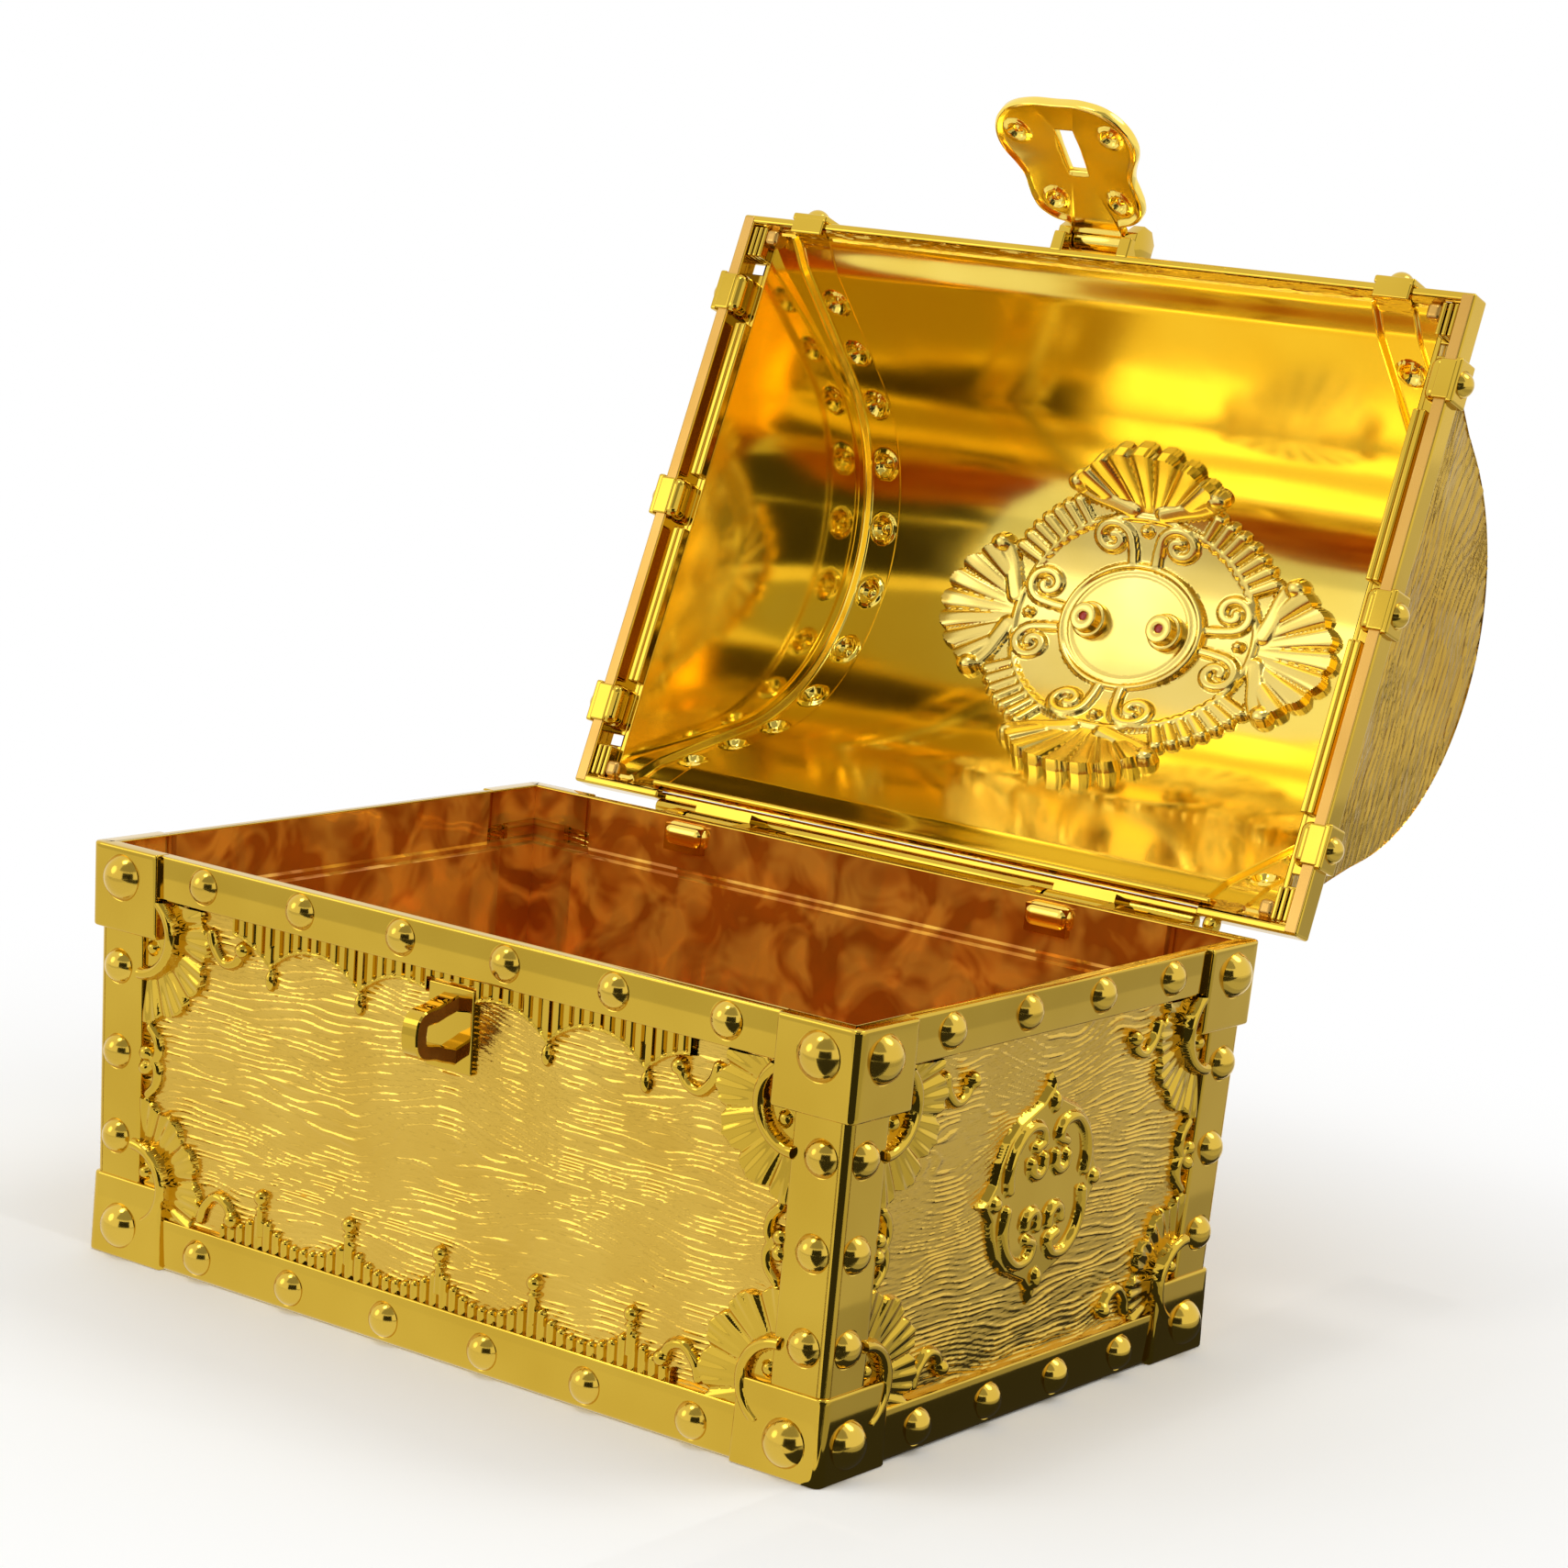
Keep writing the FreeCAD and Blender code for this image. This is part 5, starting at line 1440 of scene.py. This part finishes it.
    def end_face(self, side: int, depth: float, step: float, grain: int | None) -> Surface:
        """A D-shaped face of an end: points under the arc, scaled down to the rim's ledge.

        Args:
            side: Sign of X.
            depth: Depth of its arc inside the outer skin.
            step: Spacing of the grid.
            grain: Seed of the wood grain on the outer face, or None for the plain inner face.

        Returns:
            The face.
        """
        b = self.barrel
        foot = b.foot(depth)
        s = np.linspace(-foot, foot, int(2 * foot / step))
        y, w = b.section(s, np.full_like(s, depth), depth)
        share = np.linspace(0, 1, max(int(80 / step), 3))[:, None]
        gy = np.broadcast_to(y, (len(share), len(s)))
        gw = self.ledge + share * np.maximum(w - self.ledge, 0.02)
        out = self.end_place(gw)
        if grain is not None:
            heights = WoodGrain(grain, 0.28).heights(self.end_grain * gy, self.end_grain * gw)
            out = np.maximum(self.end_outer, out + self.end_wall) + heights - 0.2
        face = sheet(np.stack([side * out, gy, b.rim_z + gw], axis=-1))
        return face.facing((side if grain is not None else -side, 0, 0))

    def outer_vault(self) -> Surface:
        """Outside of the barrel: grained along X, its last columns drawn out to the flared ends."""
        b = self.barrel
        foot = b.foot(0.0)
        gx, gs = np.meshgrid(np.arange(-self.end_outer, self.end_outer + 0.3, 0.72),
                             np.linspace(-foot, foot, 440))
        gx = np.clip(gx, -self.end_outer, self.end_outer)
        depth = 0.1 - WoodGrain(61).heights(gx, gs)
        _, height = b.section(gs[:, 0], np.zeros(len(gs)), 0.0)
        reach = np.maximum(self.end_outer, self.end_place(np.maximum(height, self.ledge)) + self.end_wall)
        edge = b.place(np.stack([-reach, reach], axis=1), gs[:, [0, 0]], 0.0, 0.0)
        skin = np.concatenate([edge[:, :1], b.place(gx, gs, depth, 0.0), edge[:, 1:]], axis=1)
        return sheet(skin).facing(UP)

    def straps(self, side: int) -> Surface:
        """A strap over the barrel: a flat band with rounded edges carried along the arc."""
        b, low, high = self.barrel, self.strap_low, self.strap_high
        along, deep = quarter(0.4)
        x = np.concatenate([[low], low + along, (high - along)[::-1], [high]])
        proud = self.strap_proud - deep
        lift = np.concatenate([[-SINK_MM], proud, proud[::-1], [-SINK_MM]])
        foot = b.foot(0.0) - 0.3
        gx, gs = np.meshgrid(side * x, np.linspace(-foot, foot, 130))
        return sheet(b.place(gx, gs, -np.broadcast_to(lift, gx.shape), 0.0)).facing(UP)

    def strap_studs(self) -> Surface:
        """Studs along both straps, square to the barrel."""
        s = np.arange(-5, 6) * self.stud_pitch
        middle = (self.strap_low + self.strap_high) / 2
        low, high = (np.vstack([self.barrel.place(side * middle, s, np.full_like(s, depth), 0.0)
                                for side in SIGNS])
                     for depth in (-self.strap_proud, -self.strap_proud - 1.0))
        return planted(dome(*self.stud_head), low, high - low)

    def rim(self) -> tuple[Surface, Surface]:
        """Thin-walled frame round the mouth, a ledge behind its walls and a roll along its back edge.

        Returns:
            The plated frame, and the dull edges and pads that face the tub.
        """
        z, w, d = self.barrel.rim_z, self.half_width, self.half_depth
        wall, edge = self.rim_wall, self.rim_edge
        top, ledge, lap, channel = z + self.rim_height, z + self.ledge, LAP_MM, self.channel
        half = self.back_half
        # Front bar, relieved back bar, inner back bar and the stop at the roll's right end
        bars = [rounded_box((lap - w, -d, z + lap), (w - lap, wall - d, top - lap), edge),
                rounded_box((-half - 0.6, d - wall, z + 1.6), (half + 0.6, d - lap, top - 2 * lap), edge),
                rounded_box((-half - 2.0, 51.2, z + 0.2), (half + 2.0, 52.3, top), edge),
                rounded_box((half + 1.4, d - 0.6, z + 0.1), (half + 4.2, d + 2.3, z + 3.0), 1.2)]
        bars.append(bar_along_x(outline_at(turns(24), self.roll_radius, d + 1.1, z + 1.7), -half, half, 0.5))
        # Side bars, rear corners, the strip inside the ledge, the ledge in three lengths, ribs at its ends
        bars += both_sides((w - self.side_wall, lap - d, z), (w, d - lap, top), edge)
        bars += both_sides((half, d - wall, z + lap), (w - lap, d, top - lap), edge)
        bars += both_sides((channel - 0.85, -52.0, ledge + 0.03), (channel + 0.1, 52.0, top - 2 * lap), 0.2)
        for low, high in ((-53.0, -46.3), (-44.3, 44.3), (46.3, 53.0)):
            bars += both_sides((channel, low, ledge), (w - 0.6, high, top - 3 * lap), 0.2)
        for x in (69.7, 70.8, 71.9):
            for low, high in ((-52.6, -46.9), (46.9, 52.6)):
                bars += both_sides((x - 0.42, low, z + 0.5), (x + 0.42, high, ledge + 0.4), 0.3)
        dull = both_sides((w - self.side_wall + 0.12, 0.4 - d, z - 0.04), (w - 0.3, d - 0.4, z + 0.6), 0.1)
        for low, high in ((-52.4, -49.4), (49.4, 52.4)):
            dull += both_sides((66.6, low, z + 0.4), (69.4, high, ledge + 0.4), 0.9)
        return joined(bars), joined(dull)

    def channel_ribs(self) -> Surface:
        """Pairs of ribs with rounded edges along the ledge inside the rim's sides, between the clips."""
        z, half, bars = self.barrel.rim_z, self.rib_half, []
        for low, high in ((-34.5, -5.0), (5.0, 34.5)):
            for x in self.rib_x:
                bars += both_sides((x - half, low, z + 1.5), (x + half, high, z + self.ledge + 0.4), 0.35)
        return joined(bars)

    def clips(self) -> tuple[Surface, Surface]:
        """Clips that wrap the rim: an outer plate, a plate under the rim and, on the sides, an inner leg.

        Returns:
            The clips, and the studs on their outer plates.
        """
        z, w, d, h = self.barrel.rim_z, self.half_width, self.half_depth, self.clip_half
        low, top, proud = z - 0.6, z + self.rim_height + 0.1, self.clip_proud
        parts, points, normals = [], [], []
        for y in self.clip_y:
            parts += both_sides((w - 0.2, y - h, low + LAP_MM), (w + proud, y + h, top), 0.4)
            parts += both_sides((w - 2.8, y - h + 0.4, low), (w + 0.4, y + h - 0.4, z + 0.6), 0.3)
            parts += both_sides((w - 4.6, y - h, z - 0.45), (w - 1.4, y + h, z + self.ledge + 0.4), 1.5)
            points += [(side * (w + proud), y, z + 2.2) for side in SIGNS]
            normals += [(side, 0, 0) for side in SIGNS]
        for x in self.front_clip_x:
            parts.append(rounded_box((x - h, -d - proud, low + LAP_MM), (x + h, 0.2 - d, top), 0.4))
            parts.append(rounded_box((x - h + 0.4, -d - 0.4, low), (x + h - 0.4, 2.6 - d, z + 0.6), 0.3))
            points.append((x, -d - proud, z + 2.2))
            normals.append((0, -1, 0))
        places, directions = np.array(points, float), np.array(normals, float)
        return joined(parts), planted(dome(*self.clip_head), places, directions)

    def crest_surface(self, outer: bool, step: float) -> Surface:
        """The crest's relief laid on the inside or the outside of the barrel."""
        wall = self.barrel.wall
        gx, gs = np.meshgrid(np.arange(-42.4, 42.4, step), np.arange(-36.4, 36.4, step))
        height = self.crest.heights(gx, gs)
        depth, reference = (-height, 0.0) if outer else (wall + height, wall)
        relief = sheet(self.barrel.place(gx, gs, depth, reference), keep=shown(height))
        return relief.facing(UP if outer else DOWN)

    def posts(self) -> tuple[Surface, Surface]:
        """Two stepped hollow posts on the disc, and the red pegs seen in their holes."""
        places = np.array([(side * self.post_x, 0.0, self.barrel.rim_z + self.post_seat) for side in SIGNS])
        down = np.tile(DOWN, (2, 1))
        return (planted(revolved(self.post_profile, 40), places, down),
                planted(revolved(self.peg_profile, 20), places, down))

    def jewel(self) -> Surface:
        """Oval cut stone on its seat: girdle, facets and table, as shrinking ovals of sixteen sides."""
        turn, seat = flat_sided(16), self.barrel.rim_z + self.jewel_seat
        x, y = self.jewel_half
        grid = np.stack([np.column_stack([x * r * np.cos(turn), y * r * np.sin(turn), np.full(16, seat + z)])
                         for r, z in self.jewel_rows])
        return outward(sheet(grid, ring=True))

    def lugs(self) -> Surface:
        """Two eight-sided lugs for the hasp's pin, each on a pad on the rim, the left one with a hook."""
        (y, z), (near, far), lap = self.pose.pivot, self.lug_span, LAP_MM
        eye = outline_at(flat_sided(8), self.lug_radius, y, z)
        parts = []
        for low, high in ((-far, -near), (near, far)):
            parts.append(bar_along_x(eye, low, high))
            parts.append(rounded_box((low + lap, y, self.barrel.rim_z - lap),
                                     (high - lap, -self.half_depth + 0.6, z + 2.4), 0.35))
        parts.append(rounded_box((-8.6, y - 3.2, z + 0.6), (-5.6, y - 1.4, z + 3.6), 0.35))
        return joined(parts)

    def build(self) -> None:
        """Makes every piece of the lid."""
        self._add("lid_vault_lining", [(self.inner_vault(), LINING_GILT)], "lid_vault", 50.0)
        self._add("lid_vault_grained", [(self.outer_vault(), BARREL_GILT)], "lid_vault", 60.0)
        for side, name in zip(SIGNS, ("left", "right")):
            inner = self.end_face(side, self.barrel.wall * 0.5, 2.0, None)
            outer = self.end_face(side, 0.0, 0.42, 83 + side)
            faces = [(inner, LINING_GILT), (outer, END_GILT)]
            self._add(f"lid_end_{name}_faces", faces, f"lid_end_{name}", 60.0)
            self._add(f"lid_strap_{name}_gilt", [(self.straps(side), BRIGHT_GILT)], f"lid_strap_{name}")
        self._add("strap_studs_gilt", [(self.strap_studs(), STUD_GILT)], "strap_studs")
        frame_bars, dull_edges = self.rim()
        self._add("lid_rim_frame", [(frame_bars, BRIGHT_GILT), (dull_edges, CUT_EDGE_GILT)], "lid_rim")
        self._add("channel_ribs_gilt", [(self.channel_ribs(), BRIGHT_GILT)], "channel_ribs")
        clips, studs = self.clips()
        self._add("rim_clips_gilt", [(clips, BRIGHT_GILT)], "rim_clips")
        self._add("clip_studs_gilt", [(studs, STUD_GILT)], "clip_studs")
        self._add("inner_crest_relief", [(self.crest_surface(False, 0.28), CREST_GILT)], "inner_crest", 60.0)
        self._add("outer_crest_relief", [(self.crest_surface(True, 0.4), BRIGHT_GILT)], "outer_crest", 60.0)
        posts, pegs = self.posts()
        self._add("crest_posts_gilt", [(posts, CREST_GILT), (pegs, RED_PEG)], "crest_posts")
        self._add("jewel_cut_stone", [(self.jewel(), RED_ACRYLIC)], "jewel", 10.0)
        self._add("hasp_lugs_gilt", [(self.lugs(), BRIGHT_GILT)], "hasp_lugs")
        for node in ("lid_knuckle_left", "lid_knuckle_right", "hasp_pin"):
            dress_node(node, BRIGHT_GILT)


@dataclass
class Hasp:
    """Slotted hasp: a dished plate with a rolled edge and hollow-backed studs, on a knuckle."""

    pose: LidPose
    thickness: float = 1.6
    slot_half: float = 1.8
    slot_half_length: float = 4.4
    slot_drop: float = 20.3
    outline: tuple = ((5.2, 2.0), (5.2, 4.4), (8.0, 5.3), (10.4, 7.2), (11.2, 9.7), (11.2, 12.3),
                      (11.1, 14.8), (12.0, 17.3), (13.4, 19.9), (14.0, 22.5), (13.5, 25.4), (11.9, 28.0),
                      (9.2, 30.0), (5.0, 31.0), (0.0, 31.0))
    stud_places: tuple = ((-6.5, 9.7), (6.5, 9.7), (-9.4, 24.2), (9.4, 24.2))
    stud_head: tuple = (2.2, 1.1)
    stud_lift: float = 0.3
    knuckle_radius: float = 2.3
    knuckle_half: float = 5.2
    cols: int = 240

    def plate(self) -> Surface:
        """Plate between its outline and its slot: both faces, rolled at the edge and dished between.

        Returns:
            A closed surface in (x, drop below the pivot, outwards), before it is hung.
        """
        half = curve_through(self.outline, 6)
        edge = resampled(np.vstack([half * [-1, 1], half[::-1][1:]]), self.cols)
        a, b = self.slot_half, self.slot_half_length
        middle = np.array([0.0, self.slot_drop])
        slot = resampled(np.array([(-a, -b), (-a, b), (a, b), (a, -b)]) + middle, self.cols)
        ray, slot_ray = (np.arctan2(*(path - middle).T) for path in (edge, slot))
        order = np.argsort(slot_ray)
        near = np.stack([np.interp(ray, slot_ray[order], slot[order, k], period=FULL_TURN)
                         for k in (0, 1)], axis=1)
        share = np.concatenate([[0.0, 0.015, 0.04], np.linspace(0.08, 0.86, 26),
                                [0.90, 0.94, 0.97, 0.99, 1.0]])
        flat = near[None] + (edge - near)[None] * share[:, None, None]
        rim = ridge(1 - share, 0.09)[:, None] * 0.35
        dish = 0.5 * (1 - share ** 2)[:, None]
        ease = np.minimum(1.0, np.minimum(share / 0.04, (1 - share) / 0.03)).clip(0, 1)[:, None]
        thick = self.thickness / 2 * (0.45 + 0.55 * np.sqrt(ease))
        back, front = dish - thick - rim, dish + thick + 0.3 * rim
        for px, drop in self.stud_places:
            away = np.hypot(flat[..., 0] - px, flat[..., 1] - drop)
            back = back + 0.75 * ridge(away, 1.5) - 0.3 * ridge(away - 1.9, 0.45) - 0.55 * ridge(away, 0.6)
        grid = np.concatenate([np.dstack([flat, np.broadcast_to(back, flat.shape[:2])]),
                               np.dstack([flat, np.broadcast_to(front, flat.shape[:2])])[::-1]])
        return outward(sheet(grid, ring=True, loop=True))

    def hung(self, points: Array) -> Array:
        """Points of (x, drop, outwards) hung from the pin on the shut lid."""
        y, z = self.pose.pivot
        return np.column_stack([points[:, 0], y - points[:, 2], z - points[:, 1]])

    def build(self) -> None:
        """Makes the plate with its knuckle, and the studs."""
        y, z = self.pose.pivot
        half = self.knuckle_half
        knuckle = bar_along_x(outline_at(turns(32), self.knuckle_radius, y, z), -half, half, 0.3)
        plate = joined([outward(self.plate().shaped(self.hung)), knuckle])
        front = y - self.thickness / 2 - self.stud_lift
        places = np.array([(x, front, z - drop) for x, drop in self.stud_places])
        studs = planted(dome(*self.stud_head), places, np.tile((0.0, -1.0, 0.0), (len(places), 1)))
        for name, surface, finish, node, sharp in (
                ("hasp_plate_dished", plate, LINING_GILT, "hasp_plate", 50.0),
                ("hasp_studs_gilt", studs, BRIGHT_GILT, "hasp_studs", 40.0)):
            add_piece(name, [(surface.shaped(self.pose.hasp), finish)], Body.HASP, node, sharp)


# Studio

class Board(Enum):
    """Where a board of the studio lies."""

    BALL = "round the object, between two azimuths and two elevations"
    FLOOR = "on the floor, between two places in X and two in Y"


@dataclass
class Studio:
    """White light tent with a soft box, two lamps, and boards that only mirrors and glass see.

    The camera's place comes from the photograph. The boards are glowing sheets, painted reflections: they
    stand for the dark opening round its camera and for the shades of paper that its gilt mirrors, with
    painted shadow where the chest shades the paper at its right and painted light over its contact shadow in
    front.
    """

    azimuth: float = 36.214
    elevation: float = 9.730
    roll: float = 4.780
    distance: float = 0.62731
    target: tuple = (0.01921, 0.0, 0.08666)
    sensor: float = 36.0
    lens: float = 4452.7 / 1709 * 36.0
    lamp_target: tuple = (0.0, 0.0, 0.07)
    lamp_distance: float = 1.1
    fill: float = 0.78
    floor_fade: tuple = (0.09, 0.28)
    floor_radii: tuple = (0.0, 300.0, 900.0, 2500.0, 9000.0)
    ball_radius: float = 1300.0
    ball_height: float = 70.0
    # Name, azimuth, elevation, size in metres and radiance
    lamps: tuple = (("left_soft_box", -40.0, 22.0, 0.5, 1.25),
                    ("top_lamp", -25.0, 68.0, 0.32, 6.0),
                    ("rear_lamp", 132.0, 55.0, 0.45, 4.0))
    # Name, where it lies, its two ranges and how bright it looks, where 1 is white
    boards: tuple = (("dark_opening", Board.BALL, (12.0, 62.0), (-12.0, 24.0), 0.03),
                     ("dark_floor", Board.FLOOR, (79.0, 900.0), (-900.0, -62.0), 0.04),
                     ("grey_canopy", Board.BALL, (-8.0, 76.0), (30.0, 76.0), 0.4),
                     # shadow_paper and shaded_paper: painted shadow of the chest on the paper beside its
                     # right side
                     ("shadow_paper", Board.FLOOR, (70.0, 90.0), (-60.0, 110.0), 0.045),
                     ("shaded_paper", Board.FLOOR, (90.0, 116.0), (-70.0, 260.0), 0.44),
                     ("grey_paper", Board.FLOOR, (116.0, 213.0), (-70.0, 540.0), 0.6),
                     ("side_paper", Board.FLOOR, (213.0, 430.0), (-70.0, 540.0), 0.5),
                     ("rear_paper", Board.FLOOR, (430.0, 1500.0), (-70.0, 1700.0), 0.74),
                     ("back_paper", Board.FLOOR, (90.0, 430.0), (540.0, 1700.0), 0.74),
                     # pale_paper: painted light, which lifts the chest's contact shadow in the front foot
                     # band's reflection
                     ("pale_paper", Board.FLOOR, (-500.0, 70.0), (-75.0, -50.0), 0.9),
                     ("front_paper", Board.FLOOR, (-500.0, 70.0), (-257.0, -75.0), 0.86),
                     ("far_paper", Board.FLOOR, (-900.0, 60.0), (-900.0, -257.0), 0.68))

    @staticmethod
    def away(azimuth: Array | float, elevation: Array | float) -> Array:
        """Unit vectors from the object: azimuth 0 to the front and 90 to the right, elevation upwards."""
        a, e = np.radians(azimuth), np.radians(elevation)
        return np.stack([np.sin(a) * np.cos(e), -np.cos(a) * np.cos(e), np.sin(e)], axis=-1)

    @staticmethod
    def aimed(back: Array, roll: float, place: Array) -> Matrix:
        """World matrix of something at a place that looks against a direction, rolled about it.

        Args:
            back: Unit vector against which it looks.
            roll: Degrees.
            place: Where it stands, in metres.

        Returns:
            The matrix.
        """
        right = np.cross(UP, back)
        right /= np.linalg.norm(right)
        up = np.cross(back, right)
        c, s = math.cos(math.radians(roll)), math.sin(math.radians(roll))
        full = np.eye(4)
        full[:3, :3] = np.stack([c * right + s * up, -s * right + c * up, back]).T
        full[:3, 3] = place
        return Matrix(full.tolist())

    def camera(self) -> None:
        """Camera at the photograph's viewing angle."""
        back = self.away(self.azimuth, self.elevation)
        lens = bpy.data.cameras.new("camera")
        lens.lens, lens.sensor_width, lens.sensor_fit = self.lens, self.sensor, "HORIZONTAL"
        lens.clip_start, lens.clip_end = 0.01, 20.0
        eye = linked("camera", lens)
        eye.matrix_world = self.aimed(back, self.roll, np.array(self.target) + back * self.distance)
        bpy.context.scene.camera = eye

    def lamp(self, name: str, azimuth: float, elevation: float, size: float, radiance: float) -> None:
        """Round area lamp aimed at the object: its power is radiance x pi x area."""
        light = bpy.data.lights.new(name, "AREA")
        light.shape, light.size = "DISK", size
        light.energy = radiance * math.pi * math.pi * size ** 2 / 4
        back = self.away(azimuth, elevation)
        place = np.array(self.lamp_target) + back * self.lamp_distance
        linked(name, light).matrix_world = self.aimed(back, 0.0, place)

    def board(self, name: str, kind: Board, first: tuple, second: tuple, brightness: float) -> None:
        """A glowing board that only mirrors and glass see.

        Args:
            name: Name of the board.
            kind: Where it lies.
            first: Its range of azimuths in degrees, or of X in millimetres.
            second: Its range of elevations in degrees, or of Y in millimetres.
            brightness: How bright it looks, where 1 is white.
        """
        if kind is Board.BALL:
            around, over = np.meshgrid(np.linspace(*first, 24), np.linspace(*second, 16))
            grid = self.ball_radius * self.away(around, over) + np.array([0.0, 0.0, self.ball_height])
        else:
            x, y = np.meshgrid(first, second)
            grid = np.stack([x, y, np.full_like(x, 0.05)], axis=-1)
        paint = bpy.data.materials.new(name)
        paint.use_nodes = True
        paint.node_tree.nodes.clear()
        glow = add_node(paint.node_tree, "Emission", {"Color": WHITE, "Strength": brightness})
        add_node(paint.node_tree, "OutputMaterial", {"Surface": glow.outputs[0]})
        piece = linked(name, mesh_of(name, *welded(sheet(grid)), [paint]))
        piece.visible_camera = piece.visible_shadow = piece.visible_diffuse = False

    def floor(self) -> None:
        """White paper that takes the shadow near the object and fades by radius into the white backdrop."""
        turn, radii = turns(96), np.array(self.floor_radii)
        grid = np.stack([np.outer(radii, np.cos(turn)), np.outer(radii, np.sin(turn)),
                         np.full((len(radii), len(turn)), -0.02)], axis=-1)
        # Matt paper, a hair off white, so that the shadow stays soft and neutral
        paint = bpy.data.materials.new("matt_white_paper")
        paint.use_nodes = True
        tree = paint.node_tree
        paper = tree.nodes["Principled BSDF"]
        paper.inputs["Roughness"].default_value = 0.9
        paper.inputs["Base Color"].default_value = linear("#FAFAF8")
        where = add_node(tree, "TexCoord").outputs["Object"]
        radius = add_node(tree, "VectorMath", {0: where}, operation="LENGTH").outputs["Value"]
        fade = add_node(tree, "MapRange", {"Value": radius, "From Min": self.floor_fade[0],
                                           "From Max": self.floor_fade[1]}, interpolation_type="SMOOTHSTEP")
        glow = add_node(tree, "Emission", {"Color": WHITE, "Strength": 1.0})
        mixed = add_node(tree, "MixShader", {"Fac": fade.outputs["Result"], 1: paper.outputs[0],
                                             2: glow.outputs[0]})
        tree.links.new(mixed.outputs[0], tree.nodes["Material Output"].inputs["Surface"])
        linked("floor", mesh_of("floor", *welded(sheet(grid, ring=True).facing(UP)), [paint]))

    def world(self) -> None:
        """Tent: white to the camera, to mirrors and to glass, and an even grey fill to everything matt."""
        world = bpy.data.worlds.new("tent")
        world.use_nodes = True
        tree = world.node_tree
        tree.nodes.clear()
        fill, white = (add_node(tree, "Background", {"Color": WHITE, "Strength": strength}).outputs[0]
                       for strength in (self.fill, 1.0))
        ray = add_node(tree, "LightPath").outputs
        seen = ray["Is Camera Ray"]
        for kind in ("Is Glossy Ray", "Is Transmission Ray"):
            seen = add_node(tree, "Math", {0: seen, 1: ray[kind]}, operation="MAXIMUM").outputs[0]
        mixed = add_node(tree, "MixShader", {"Fac": seen, 1: fill, 2: white})
        add_node(tree, "OutputWorld", {"Surface": mixed.outputs[0]})
        bpy.context.scene.world = world

    def build(self) -> None:
        """Sets up camera, tent, floor, lamps and boards."""
        bpy.context.scene.view_settings.view_transform = "Standard"
        self.camera()
        self.world()
        self.floor()
        for lamp in self.lamps:
            self.lamp(*lamp)
        for board in self.boards:
            self.board(*board)


# Assembly

def main() -> None:
    """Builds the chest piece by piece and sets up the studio."""
    logging.basicConfig(level=logging.INFO, format="%(name)s: %(message)s")
    carcase, pose, barrel = Carcase(), LidPose(), Barrel()
    for assembly in (Tub(carcase), Trim(carcase), TubStuds(carcase), CornerFans(carcase), Fringes(carcase),
                     Plaques(carcase), Staple(carcase), Lid(barrel, pose), Hasp(pose)):
        assembly.build()
    for node in ("hinge_bracket_left", "hinge_bracket_right", "hinge_pin_left", "hinge_pin_right"):
        dress_node(node, BRIGHT_GILT)
    Studio().build()


if __name__ == "__main__":
    main()
